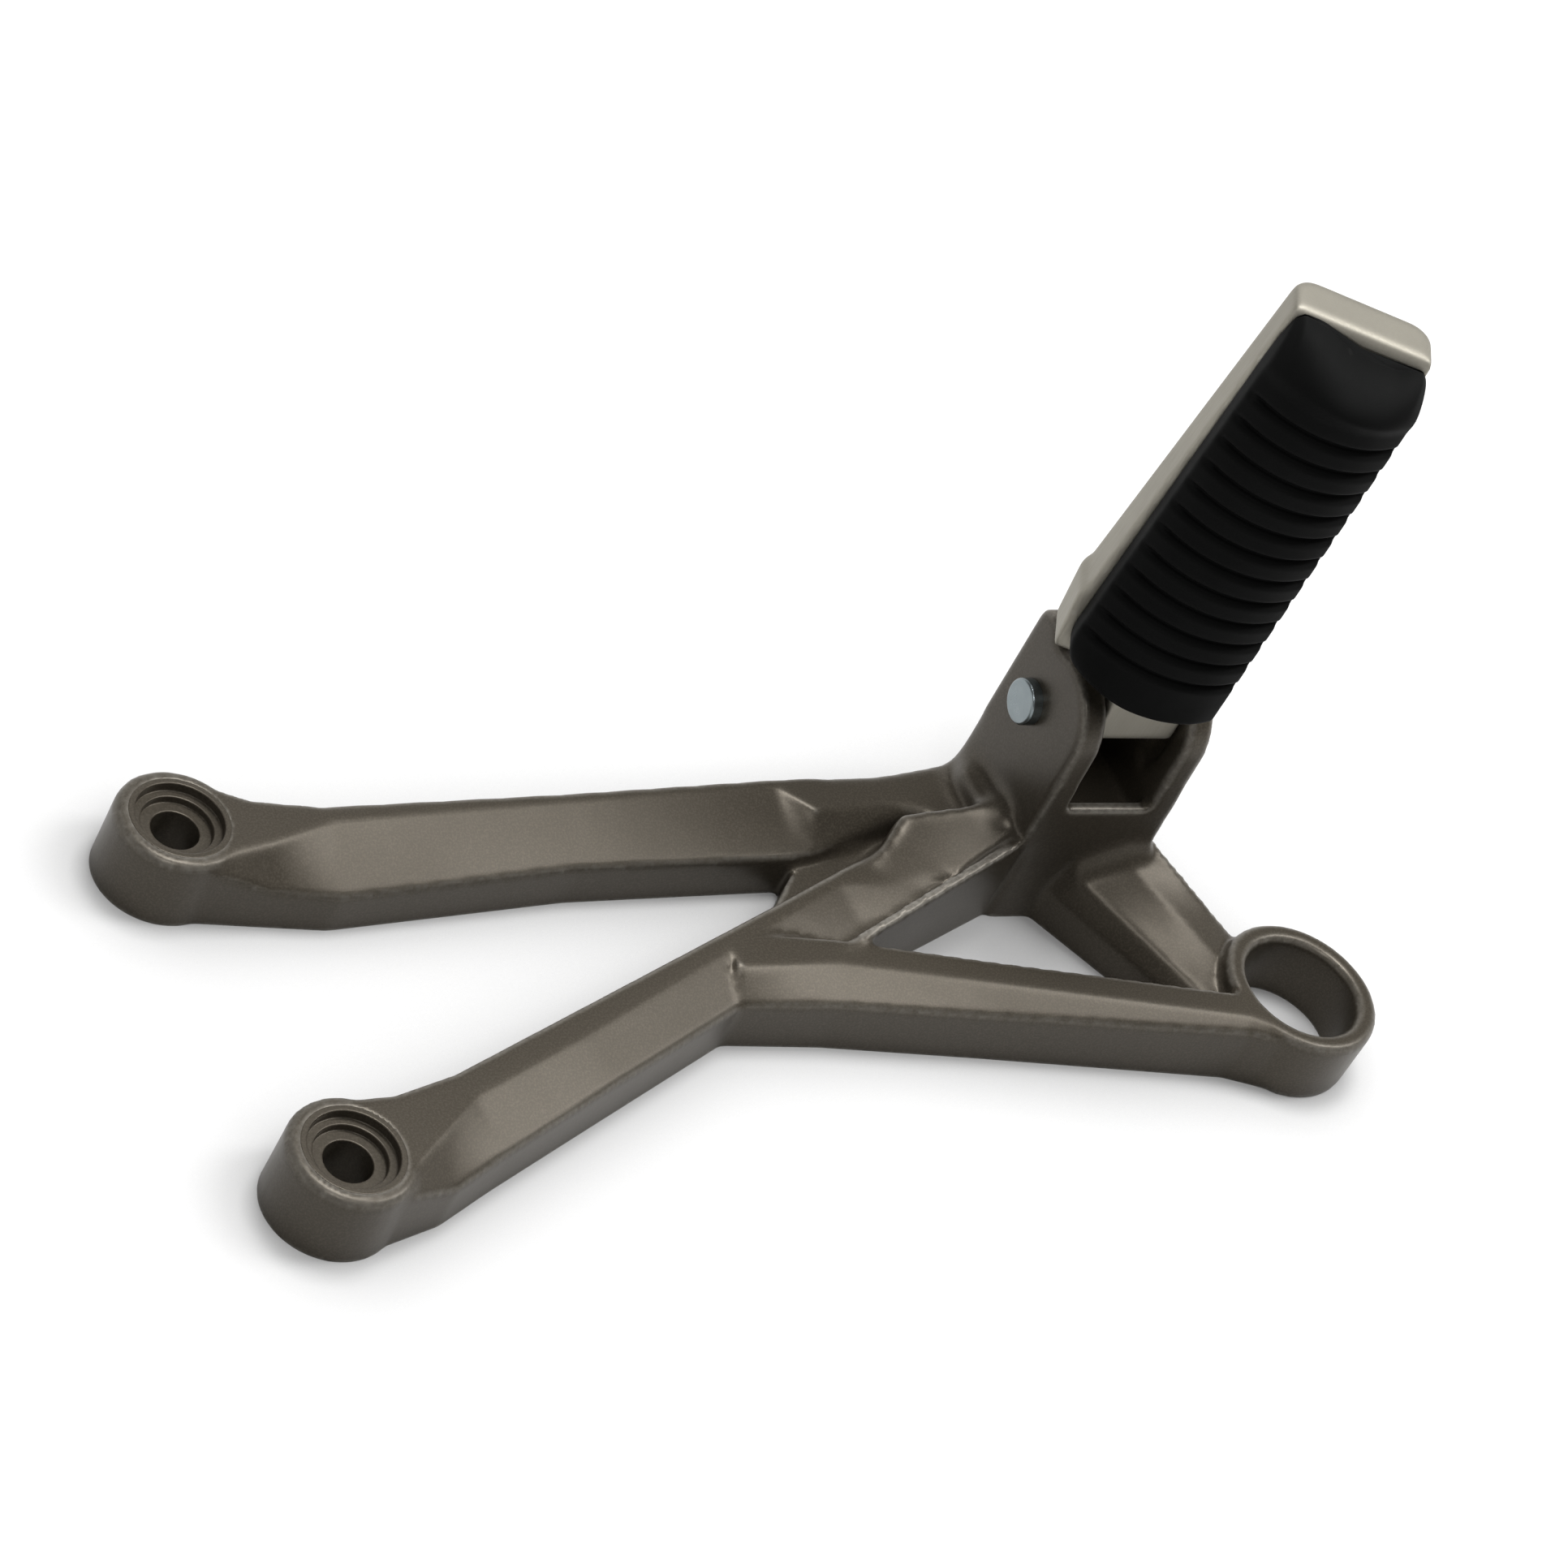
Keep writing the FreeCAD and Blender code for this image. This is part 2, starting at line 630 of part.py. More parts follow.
def pad_screw(z):
    """Socket-head screw from the back of the shell into the core plate."""
    seat = seat_at(z) + PAD_WASHER_T
    top = seat + SCREW_HEAD_T
    shank = rod_v(SCREW_R, z, -CORE_IN - CORE_T - SCREW_PAST, seat)
    head = rod_v(SCREW_HEAD_R, z, seat, top)
    head = head.makeChamfer(SCREW_SOFT, [e for e in head.Edges if e.BoundBox.YMin > top - NEAR])
    turns = [math.radians(60 * i) for i in range(6)]
    hexagon = [Vector(SCREW_SOCKET_R * math.cos(a), top, z + SCREW_SOCKET_R * math.sin(a)) for a in turns]
    socket = Part.Face(polygon(hexagon)).extrude(Vector(0, -SCREW_SOCKET_DEPTH, 0))
    return peg_place(shank.fuse(head).removeSplitter().cut(socket))


def pad_washer(z):
    seat = seat_at(z)
    ring = rod_v(PAD_WASHER_R, z, seat, seat + PAD_WASHER_T)
    return peg_place(ring.cut(rod_v(SCREW_R + SCREW_GAP, z, seat, seat + PAD_WASHER_T)))


def tongue():
    """Hinge tongue: round tail at the pin, nose in front, sloped gusset up the back."""
    r = TONGUE_TAIL_R
    front = PIN_Y - TONGUE_FRONT
    gusset_top = PEG_FOOT_Z + GUSSET_UP
    side = [
        (PIN_Y + r, PIN_Z - r, r - NEAR),
        (PIN_Y, PIN_Z - r, 0),
        (front, PIN_Z + TONGUE_NOSE_RISE, 0),
        (front, gusset_top, 0),
        (front + GUSSET_T, gusset_top, 0),
        (PIN_Y + r, PIN_Z + GUSSET_RISE, 0),
    ]
    return side_prism(side, TONGUE_LO, TONGUE_HI)


def footpeg():
    """Bare metal footpeg: back shell and tongue, with the pad seat left flat."""
    shoulder = PEG_FOOT_Z + SHOULDER_UP
    sections = [
        back_section(PEG_FOOT_Z - SHELL_DROP, PEG_LEFT_FOOT),
        back_section(shoulder, PEG_LEFT_SHOULDER),
        back_section(shoulder + SHOULDER_RUN, PEG_LEFT_NECK),
        back_section(PEG_TIP_Z, PEG_LEFT_TIP),
    ]
    shell = Part.makeLoft(sections, True, True)
    rim = [e for e in shell.Edges if e.BoundBox.ZMin > PEG_TIP_Z - NEAR]
    shell = peg_place(shell.makeFillet(PEG_TIP_SOFT, rim))
    body = fuse_all([shell, tongue()])
    cuts = [peg_place(pad_blank()), tube_x(PIN_R + RUN_GAP, TONGUE_LO, TONGUE_HI)]
    for z in screw_heights():
        cuts.append(peg_place(rod_v(SCREW_R + SCREW_GAP, z, 0.0, PEG_BACK_FOOT_T)))
        cuts.append(peg_place(rod_v(PAD_WASHER_R + SCREW_GAP, z, seat_at(z), 2 * PEG_BACK_FOOT_T)))
    y, z = PIN_Y + DETENT_DY, PIN_Z + DETENT_DZ
    cuts.append(tube_x(BALL_R + BALL_GAP, TONGUE_HI - DETENT_DEPTH, TONGUE_HI, y, z))
    return body.cut(cuts).removeSplitter()


def pivot_pin():
    """Headed pin through both ears, cross-drilled at the tail for the split pin."""
    tail = CLEVIS_END + WASHER_T + PIN_TAIL
    head_x = CLEVIS_X - PIN_HEAD_T
    shank = tube_x(PIN_R, CLEVIS_X, tail)
    shank = shank.makeChamfer(PIN_SOFT, [e for e in shank.Edges if e.BoundBox.XMin > tail - NEAR])
    head = tube_x(PIN_R + PIN_HEAD_LIP, head_x, CLEVIS_X)
    head = head.makeFillet(PIN_SOFT, [e for e in head.Edges if e.BoundBox.XMax < head_x + NEAR])
    hole_from = Vector(split_x(), PIN_Y - 2 * PIN_R, PIN_Z)
    hole = Part.makeCylinder(SPLIT_R + SPLIT_GAP, 4 * PIN_R, hole_from, Y_AXIS)
    return shank.fuse(head).removeSplitter().cut(hole)


def split_x():
    """Place of the split pin: just outside the washer."""
    return CLEVIS_END + WASHER_T + 2 * SPLIT_R


def pin_washer():
    ring = tube_x(PIN_R + WASHER_LIP, CLEVIS_END, CLEVIS_END + WASHER_T)
    return ring.cut(tube_x(PIN_R + WASHER_GAP, CLEVIS_END, CLEVIS_END + WASHER_T))


def split_pin():
    """Split pin: round shank, eye on the back side and two spread legs in front."""
    x = split_x()
    back = PIN_Y + PIN_R + SPLIT_OUT
    front = PIN_Y - PIN_R - SPLIT_OUT
    shank = Part.makeCylinder(SPLIT_R, back - front, Vector(x, front, PIN_Z), Y_AXIS)
    eye_y = back + SPLIT_EYE_R
    eye = tube_x(SPLIT_EYE_R + SPLIT_WIRE_R, x - SPLIT_WIRE_R, x + SPLIT_WIRE_R, eye_y)
    eye = eye.cut(tube_x(SPLIT_EYE_R - SPLIT_WIRE_R, x - SPLIT_WIRE_R, x + SPLIT_WIRE_R, eye_y))
    spread = math.radians(SPLIT_SPREAD)
    root = Vector(x, front + SPLIT_WIRE_R, PIN_Z)
    legs = []
    for way in (1, -1):
        lean = Vector(0, -math.cos(spread), way * math.sin(spread))
        legs.append(Part.makeCylinder(SPLIT_WIRE_R, SPLIT_LEG, root, lean))
    return fuse_all([shank, eye] + legs)


def ball_center():
    return Vector(TONGUE_HI + BALL_OUT - BALL_R, PIN_Y + DETENT_DY, PIN_Z + DETENT_DZ)


def detent_ball():
    return Part.makeSphere(BALL_R, ball_center())


def detent_spring():
    """Coil spring of square wire between the bottom of its bore and the ball."""
    start = TONGUE_HI - DETENT_DEPTH
    length = ball_center().x - BALL_R - start - 2 * SPRING_WIRE_R
    coil_r = BALL_R - 2 * SPRING_WIRE_R
    helix = Part.makeHelix(length / SPRING_TURNS, length, coil_r)
    w = SPRING_WIRE_R
    wire = polygon([Vector(coil_r + x, 0, z) for x, z in ((-w, -w), (w, -w), (w, w), (-w, w))])
    coil = Part.Wire(helix.Edges).makePipeShell([wire], True, True)
    coil.rotate(Vector(0, 0, 0), Y_AXIS, 90)
    coil.translate(Vector(start + SPRING_WIRE_R, PIN_Y + DETENT_DY, PIN_Z + DETENT_DZ))
    return coil


save(bracket(), "bracket")
save(footpeg(), "footpeg")
save(rubber_pad(), "rubber_pad")
save(pad_core(), "pad_core")
LOW_SCREW, HIGH_SCREW = screw_heights()
save(pad_screw(LOW_SCREW), "pad_screw_inner")
save(pad_screw(HIGH_SCREW), "pad_screw_outer")
save(pad_washer(LOW_SCREW), "pad_washer_inner")
save(pad_washer(HIGH_SCREW), "pad_washer_outer")
save(pivot_pin(), "pivot_pin")
save(pin_washer(), "pin_washer")
save(split_pin(), "split_pin")
save(detent_ball(), "detent_ball")
save(detent_spring(), "detent_spring")
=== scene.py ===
import json
import math

import bmesh
import bpy
import numpy as np
from bpy.props import FloatProperty, FloatVectorProperty, IntProperty, PointerProperty
from mathutils import Matrix, Vector


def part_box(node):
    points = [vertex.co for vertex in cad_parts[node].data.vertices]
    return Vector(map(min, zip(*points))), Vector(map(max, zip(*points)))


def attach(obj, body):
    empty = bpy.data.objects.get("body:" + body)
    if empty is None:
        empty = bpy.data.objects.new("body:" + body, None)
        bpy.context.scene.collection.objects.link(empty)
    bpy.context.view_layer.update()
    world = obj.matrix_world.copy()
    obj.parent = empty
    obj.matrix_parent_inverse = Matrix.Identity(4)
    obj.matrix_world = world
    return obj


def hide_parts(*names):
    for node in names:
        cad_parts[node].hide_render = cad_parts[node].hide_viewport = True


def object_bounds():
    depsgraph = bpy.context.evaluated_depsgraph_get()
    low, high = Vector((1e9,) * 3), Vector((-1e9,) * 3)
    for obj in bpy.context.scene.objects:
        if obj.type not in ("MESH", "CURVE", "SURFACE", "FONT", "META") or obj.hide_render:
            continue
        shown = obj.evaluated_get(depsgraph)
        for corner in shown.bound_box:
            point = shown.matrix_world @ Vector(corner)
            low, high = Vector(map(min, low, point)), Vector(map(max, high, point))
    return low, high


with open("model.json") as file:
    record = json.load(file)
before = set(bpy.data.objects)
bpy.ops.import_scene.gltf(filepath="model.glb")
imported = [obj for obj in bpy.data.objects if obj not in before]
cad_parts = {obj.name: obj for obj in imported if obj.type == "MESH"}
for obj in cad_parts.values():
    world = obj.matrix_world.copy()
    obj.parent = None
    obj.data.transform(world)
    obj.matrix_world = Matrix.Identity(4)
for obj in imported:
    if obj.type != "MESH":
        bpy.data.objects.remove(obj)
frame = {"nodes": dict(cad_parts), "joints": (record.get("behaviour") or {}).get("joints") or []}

bl_info = {
    "name": "Folding footrest",
    "version": (1, 0, 0),
    "blender": (4, 5, 0),
    "location": "View3D > Sidebar > Footrest",
    "description": "Dresses the footrest's solids: soft-edged casting, ribbed rubber, plated pins and a studio",
    "category": "Object",
}

CAD_BOX = [list(corner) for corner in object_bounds()]
PIVOT = Vector(frame["joints"][0]["pos_m"])
PAD_LOW, PAD_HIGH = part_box("rubber_pad")
PEG_LOW, PEG_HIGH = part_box("footpeg")
FIXED_BODY = "bracket_body"
FOLDING_BODY = "footpeg_body"
PLATED_NODES = [
    "pivot_pin", "pin_washer", "split_pin", "pad_screw_inner", "pad_screw_outer",
    "pad_washer_inner", "pad_washer_outer", "pad_core", "detent_ball", "detent_spring",
]

# Distances in metres below which points or faces count as one
BACK_PLANE_TOUCH = 1e-5
FLAT_FACE = 2e-5
SAME_POINT = 1e-6

# Eyelet holes in metres: axes, rim, then each step as (radius, height of its floor)
EYELETS = (Vector((0.0, 0.0, 0.0)), Vector((0.0095, -0.0729, 0.0)))
EYELET_TOP = 0.01462
EYELET_RIM = 0.0093
EYELET_STEPS = ((0.0081, 0.0128), (0.0066, 0.0114), (0.0044, 0.00003))
EYELET_BEVEL = 0.00012
EYELET_OVERLAP = 0.0003

# Hub curves in metres: start, middle and end
SADDLE_NEAR = ((0.1358, -0.0118, 0.0156), (0.1504, -0.0157, 0.0156), (0.1665, -0.0112, 0.0212))
SADDLE_FAR = ((0.1448, -0.0020, 0.0189), (0.1550, -0.0016, 0.0202), (0.1665, -0.0030, 0.0232))
GROOVE_NEAR = ((0.1180, -0.0332, 0.0112), (0.1428, -0.0219, 0.0130), (0.1670, -0.0110, 0.0195))
GROOVE_FAR = ((0.1175, -0.0300, 0.0112), (0.1420, -0.0180, 0.0130), (0.1670, -0.0080, 0.0195))
HUB_FOOT = 0.004

# Where the hub's smoothing fades in and out, in metres, and its front crest as a line in plan
HUB_START_X = (0.128, 0.142)
HUB_END_X = (0.1655, 0.1675)
HUB_LOW_Z = (0.004, 0.009)
HUB_HIGH_Z = (0.024, 0.030)
CREST_START = (0.1175, -0.0330)
CREST_SLOPE = 0.457
CREST_FADE = (0.0020, 0.0042)

# Net of the pad: points round a section, rows in each pitch, in the foot band, below the dome and over it
PAD_COLUMNS = 140
PAD_CORNER_PASSES = 3
RIB_ROWS = 14
BAND_ROWS = 26
RISE_ROWS = 14
DOME_ROWS = 34

# Small lengths of the pad in metres
FOOT_EDGE = 0.0014
TIP_TAPER = 0.0010
WAVE_REACH = 0.012
GROOVE_FADE = 0.0030
GROOVE_NEAR_SIDE = 0.0014
GROOVE_FAR_SIDE = 0.0002

# Second colours of the finishes
PAINT_CLOUD = (0.042, 0.036, 0.028, 1.0)
# Painted highlight on the casting's thin ridges
PAINTED_RIDGE_HIGHLIGHT = (0.30, 0.285, 0.255, 1.0)
# Painted shade in the casting's hollows and creases
PAINTED_HOLLOW_SHADE = (0.026, 0.023, 0.019, 1.0)
PAINT_GLOSS = (1.0, 0.90, 0.76, 1.0)
PEG_WORN = (0.305, 0.288, 0.248, 1.0)
# Painted highlight on the footpeg's sharp edges
PEG_EDGE_HIGHLIGHT = (0.50, 0.48, 0.43, 1.0)
PLATING_SPANGLE = (0.285, 0.32, 0.33, 1.0)
RUBBER_BLOOM = (0.015, 0.015, 0.0145, 1.0)
SKY_COLOUR = (1.0, 0.985, 0.96, 1.0)

# Lamps: name, place from the middle of the floor under the part, size in metres and power setting
LAMPS = (
    ("key", (0.60, -0.06, 0.82), (0.24, 0.60), "key_power"),
    ("top", (0.09, 0.20, 0.98), (0.30, 0.30), "top_power"),
    ("fill", (-0.28, -0.38, 0.85), (0.26, 0.26), "fill_power"),
    ("side", (-0.95, 0.05, 0.32), (0.35, 0.35), "side_power"),
    ("behind", (0.20, 0.90, 0.50), (0.60, 0.40), "back_power"),
)

# Floor and backdrop: half width and height in metres, and how the white seen there changes with distance
FLOOR_REACH = 6.0
BACKDROP_HEIGHT = 1.6
# Reach of the ambient occlusion that dims the floor's glow near the part: a painted contact shadow
CONTACT_SHADE = 0.06
NEAR_WHITE = 0.62
WHITE_RANGE = (0.45, 1.6)
UNSHADED_RANGE = (0.8, 1.6)


class CastingSettings(bpy.types.PropertyGroup):
    """Cast bracket and footpeg: how fine and how soft their surfaces are, and their colours."""

    bracket_cell: FloatProperty(
        name="Bracket cell", description="Spacing of the bracket's surface points",
        default=0.00076, unit="LENGTH",
    )
    bracket_passes: IntProperty(
        name="Bracket softness", description="Smoothing passes that round the cast edges",
        default=2, min=0,
    )
    hub_passes: IntProperty(
        name="Hub softness", description="More smoothing passes in the hub", default=24, min=0
    )
    saddle_sag: FloatProperty(
        name="Saddle hollow", description="Depth of the saddle's hollow",
        default=0.0004, unit="LENGTH",
    )
    peg_cell: FloatProperty(
        name="Footpeg cell", description="Spacing of the footpeg's surface points",
        default=0.00042, unit="LENGTH",
    )
    peg_passes: IntProperty(
        name="Footpeg softness", description="Smoothing passes that round the footpeg's edges",
        default=14, min=0,
    )
    paint: FloatVectorProperty(
        name="Paint", description="Warm grey of the bracket", subtype="COLOR", size=4,
        default=(0.043, 0.0365, 0.0275, 1.0), min=0.0, max=1.0,
    )
    flake: FloatVectorProperty(
        name="Flake", description="Bright flakes in the paint", subtype="COLOR", size=4,
        default=(0.108, 0.094, 0.073, 1.0), min=0.0, max=1.0,
    )
    peg_metal: FloatVectorProperty(
        name="Footpeg metal", description="Bare satin metal of the footpeg", subtype="COLOR", size=4,
        default=(0.350, 0.332, 0.284, 1.0), min=0.0, max=1.0,
    )
    plating: FloatVectorProperty(
        name="Plating", description="Zinc on the pins, washers and screws", subtype="COLOR", size=4,
        default=(0.230, 0.265, 0.277, 1.0), min=0.0, max=1.0,
    )


class PadSettings(bpy.types.PropertyGroup):
    """Rubber pad, measured in the footpeg's own frame: across, out from the metal and along."""

    twist: FloatProperty(
        name="Twist", description="Turn of the footpeg about the upright axis",
        default=math.radians(28.6),
        subtype="ANGLE",
    )
    offset_x: FloatProperty(
        name="Offset along the pin", description="Pad centre from the pivot, along X",
        default=-0.0038, unit="LENGTH",
    )
    offset_y: FloatProperty(
        name="Offset across the pin", description="Pad back from the pivot, along Y",
        default=-0.0129, unit="LENGTH",
    )
    half_foot: FloatProperty(
        name="Half width at the foot", description="Half of the pad's width at its foot",
        default=0.0159, unit="LENGTH",
    )
    half_tip: FloatProperty(
        name="Half width at the tip", description="Half of the pad's width at its tip",
        default=0.0140, unit="LENGTH",
    )
    lean: FloatProperty(
        name="Lean", description="Sideways shift of the foot against the tip",
        default=0.0032, unit="LENGTH",
    )
    side: FloatProperty(
        name="Side height", description="Height of the flat sides", default=0.0050, unit="LENGTH"
    )
    crown: FloatProperty(
        name="Crown height", description="Height of the round crown", default=0.0118, unit="LENGTH"
    )
    swell: FloatProperty(
        name="End swell", description="How far the end stands above the ribs",
        default=0.0015, unit="LENGTH",
    )
    swell_start: FloatProperty(
        name="Swell start", description="Length of the thicker end", default=0.0090, unit="LENGTH"
    )
    first_groove: FloatProperty(
        name="First groove", description="From the foot to the first groove",
        default=0.0100, unit="LENGTH",
    )
    pitch: FloatProperty(
        name="Rib pitch", description="From one groove to the next", default=0.00545, unit="LENGTH"
    )
    grooves: IntProperty(name="Grooves", description="Number of cross grooves", default=12, min=1)
    groove_depth: FloatProperty(
        name="Groove depth", description="Depth of a groove", default=0.0017, unit="LENGTH"
    )
    groove_half: FloatProperty(
        name="Groove half width", description="Half width of a groove at its mouth",
        default=0.0014, unit="LENGTH",
    )
    wave: FloatProperty(
        name="End wave", description="Depth of the wavy edge at the tip",
        default=0.0028, unit="LENGTH",
    )
    hump: FloatProperty(
        name="Hump", description="How far the wavy edge stands over the solid's end",
        default=0.0007, unit="LENGTH",
    )
    dome: FloatProperty(
        name="Dome", description="Length of the rounded end", default=0.0080, unit="LENGTH"
    )
    end_lip: FloatProperty(
        name="End lip", description="Rubber left above the metal at the very end",
        default=0.0012, unit="LENGTH",
    )
    corner_up: FloatProperty(
        name="Corner height", description="Height of the rounded corner at the foot",
        default=0.0080, unit="LENGTH",
    )
    corner_in: FloatProperty(
        name="Corner depth", description="How far the rounded corner at the foot goes in",
        default=0.0058, unit="LENGTH",
    )
    colour: FloatVectorProperty(
        name="Rubber", description="Black of the moulded rubber", subtype="COLOR", size=4,
        default=(0.0046, 0.0048, 0.0047, 1.0), min=0.0, max=1.0,
    )


class StageSettings(bpy.types.PropertyGroup):
    """Camera, lamps and floor."""

    azimuth: FloatProperty(
        name="Camera azimuth", description="Turn of the camera about the upright axis",
        default=math.radians(-42.0),
        subtype="ANGLE",
    )
    elevation: FloatProperty(
        name="Camera elevation", description="Height of the camera above the floor",
        default=math.radians(38.952),
        subtype="ANGLE",
    )
    roll: FloatProperty(
        name="Camera roll", description="Turn of the picture",
        default=math.radians(29.596), subtype="ANGLE",
    )
    distance: FloatProperty(
        name="Camera distance", description="From the upper eyelet's plane to the lens",
        default=0.734038, unit="LENGTH",
    )
    aim: FloatVectorProperty(
        name="Camera offset", description="Lens from the upper eyelet, across and up the picture", size=2,
        default=(0.109282, 0.015683), unit="LENGTH",
    )
    view_angle: FloatProperty(
        name="View angle", description="Angle of the square picture",
        default=2 * math.atan(966 / 5200),
        subtype="ANGLE",
    )
    floor: FloatVectorProperty(
        name="Floor", description="Pale floor", subtype="COLOR", size=4, default=(0.42, 0.42, 0.42, 1.0),
        min=0.0, max=1.0,
    )
    key_power: FloatProperty(
        name="Key power", description="Long soft lamp above the ring", default=4.6, unit="POWER",
    )
    top_power: FloatProperty(
        name="Top power", description="Soft lamp overhead", default=6.4, unit="POWER",
    )
    fill_power: FloatProperty(
        name="Fill power", description="Soft lamp over the camera", default=2.0, unit="POWER",
    )
    side_power: FloatProperty(
        name="Side power", description="Soft lamp at the left", default=0.5, unit="POWER",
    )
    back_power: FloatProperty(
        name="Back power", description="Soft lamp behind", default=0.8, unit="POWER",
    )
    sky: FloatProperty(name="Sky", description="Strength of the even light", default=0.14, min=0.0)


class FootrestSettings(bpy.types.PropertyGroup):
    """All settings of the footrest."""

    casting: PointerProperty(type=CastingSettings)
    pad: PointerProperty(type=PadSettings)
    stage: PointerProperty(type=StageSettings)


def new_object(name, data):
    """Object of a mesh, lamp or camera, linked to the scene."""
    made = bpy.data.objects.new(name, data)
    bpy.context.scene.collection.objects.link(made)
    return made


def shade_smooth(mesh):
    """Shade every face of a mesh smooth."""
    mesh.polygons.foreach_set("use_smooth", np.ones(len(mesh.polygons), bool))
    mesh.update()


def relax(mesh, passes, weight=0.5):
    """Each pass moves every point by its weight towards the mean of its neighbours."""
    points = mesh_points(mesh).astype(float)
    edges = np.zeros(len(mesh.edges) * 2, np.int32)
    mesh.edges.foreach_get("vertices", edges)
    first, second = edges.reshape(-1, 2).T
    ends = np.concatenate([first, second])
    others = np.concatenate([second, first])
    count = len(points)
    degree = np.maximum(np.bincount(ends, minlength=count), 1)[:, None]
    for _ in range(passes):
        sums = np.stack([np.bincount(ends, points[others, axis], count) for axis in range(3)], axis=1)
        points += weight * (sums / degree - points)
    set_points(mesh, points)


def mesh_points(mesh):
    """Points of a mesh as a (count, 3) array."""
    points = np.zeros(len(mesh.vertices) * 3, np.float32)
    mesh.vertices.foreach_get("co", points)
    return points.reshape(-1, 3)


def set_points(mesh, points):
    """Put a mesh's points at the rows of a (count, 3) array."""
    mesh.vertices.foreach_set("co", points.astype(np.float32).ravel())
    mesh.update()


def sink_foot(mesh, depth):
    """Lower the flat back of a copy, so that the walls run past the back plane."""
    points = mesh_points(mesh)
    points[:, 2] -= depth * (points[:, 2] < BACK_PLANE_TOUCH)
    set_points(mesh, points)


def trim_foot(mesh):
    """Press what lies under the back plane flat on it and clear the faces that this closes up."""
    points = mesh_points(mesh)
    points[:, 2] = np.maximum(points[:, 2], 0.0)
    set_points(mesh, points)
    work = bmesh.new()
    work.from_mesh(mesh)
    bmesh.ops.dissolve_degenerate(work, dist=FLAT_FACE, edges=work.edges)
    work.to_mesh(mesh)
    work.free()


def join_surfaces(mesh, surfaces, material=0):
    """Add closed surfaces, each as (points, faces), to a mesh, with one of its materials."""
    work = bmesh.new()
    work.from_mesh(mesh)
    for points, faces in surfaces:
        corners = [work.verts.new(point) for point in points]
        for face in faces:
            work.faces.new([corners[index] for index in face]).material_index = material
    work.to_mesh(mesh)
    work.free()


def block_under(top, foot):
    """Closed surface under a (rows, columns, 3) patch: the patch, its copy at the foot and walls between."""
    rows, columns = top.shape[:2]
    base = top.copy()
    base[..., 2] = foot
    points = np.concatenate([top.reshape(-1, 3), base.reshape(-1, 3)])
    index = np.arange(rows * columns).reshape(rows, columns)
    quads = np.stack([index[:-1, :-1], index[1:, :-1], index[1:, 1:], index[:-1, 1:]], axis=-1)
    quads = quads.reshape(-1, 4)
    rim = np.concatenate([index[0, :-1], index[:-1, -1], index[-1, :0:-1], index[:0:-1, 0]])
    after = np.roll(rim, -1)
    under = rows * columns
    walls = np.stack([rim, after, after + under, rim + under], axis=-1)
    faces = np.concatenate([quads, quads[:, ::-1] + under, walls])
    return points.tolist(), faces.tolist()


def broken_corners(profile, size):
    """Profile with each corner cut by a small bevel and held by a point beside it."""
    corners = np.array(profile)
    ways = np.roll(corners, -1, axis=0) - corners
    ways /= np.linalg.norm(ways, axis=1)[:, None]
    before = np.roll(ways, 1, axis=0)
    return np.stack([corners - 2.5 * size * before, corners - size * before, corners + size * ways,
                     corners + 2.5 * size * ways], axis=1).reshape(-1, 2)


def turned_ring(centre, profile, columns=96):
    """Closed surface of revolution: a closed (radius, height) profile turned about an upright axis."""
    rows = len(profile)
    angle = np.linspace(0.0, 2.0 * math.pi, columns, endpoint=False)
    x = centre.x + profile[:, :1] * np.cos(angle)
    y = centre.y + profile[:, :1] * np.sin(angle)
    z = np.repeat(profile[:, 1:], columns, axis=1)
    i, j = np.meshgrid(np.arange(rows), np.arange(columns), indexing="ij")
    down, after = (i + 1) % rows, (j + 1) % columns
    here, below = i * columns, down * columns
    faces = np.stack([here + j, here + after, below + after, below + j], axis=-1)
    return np.stack([x, y, z], axis=-1).reshape(-1, 3).tolist(), faces.reshape(-1, 4).tolist()


def eyelet_seat(centre):
    """Stepped seat of a bolt eyelet, with crisp steps down to the hole."""
    profile = [(EYELET_RIM, EYELET_TOP)]
    height = EYELET_TOP
    for radius, floor in EYELET_STEPS:
        profile += [(radius, height), (radius, floor)]
        height = floor
    profile.append((EYELET_RIM, height))
    return turned_ring(centre, broken_corners(profile, EYELET_BEVEL))


def open_eyelets(mesh):
    """Widen the eyelet holes of the net to just inside the rim of their seats."""
    points = mesh_points(mesh).astype(float)
    for centre in EYELETS:
        across = points[:, :2] - np.array(centre[:2])
        reach = np.linalg.norm(across, axis=1)
        inside = reach < EYELET_RIM - EYELET_OVERLAP
        wider = (EYELET_RIM - EYELET_OVERLAP) / np.maximum(reach, SAME_POINT)
        points[inside, :2] = np.array(centre[:2]) + across[inside] * wider[inside, None]
    set_points(mesh, points)


def bend(first, middle, last, share):
    """Parabola through three points, at shares 0, one half and 1 of the way."""
    share = share[:, None]
    return (
        np.array(first) * (1.0 - share) * (1.0 - 2.0 * share)
        + np.array(middle) * 4.0 * share * (1.0 - share)
        + np.array(last) * share * (2.0 * share - 1.0)
    )


def sheet(near, far, sag, rows=24, columns=16):
    """Ruled patch between two parabolas, hollowed by sag x 4 t (1 - t), with t the share of the way across."""
    share = np.linspace(0.0, 1.0, rows)
    t = np.linspace(0.0, 1.0, columns)[None, :, None]
    patch = bend(*near, share)[:, None, :] * (1.0 - t) + bend(*far, share)[:, None, :] * t
    patch[..., 2] -= sag * 4.0 * t[..., 0] * (1.0 - t[..., 0])
    return patch


def hub_surfaces(casting):
    """Hollow saddle that climbs to the clevis, and the floor of the groove beside the front wall."""
    saddle = sheet(SADDLE_NEAR, SADDLE_FAR, casting.saddle_sag)
    groove = sheet(GROOVE_NEAR, GROOVE_FAR, 0.0)
    return [block_under(saddle, HUB_FOOT), block_under(groove, HUB_FOOT)]


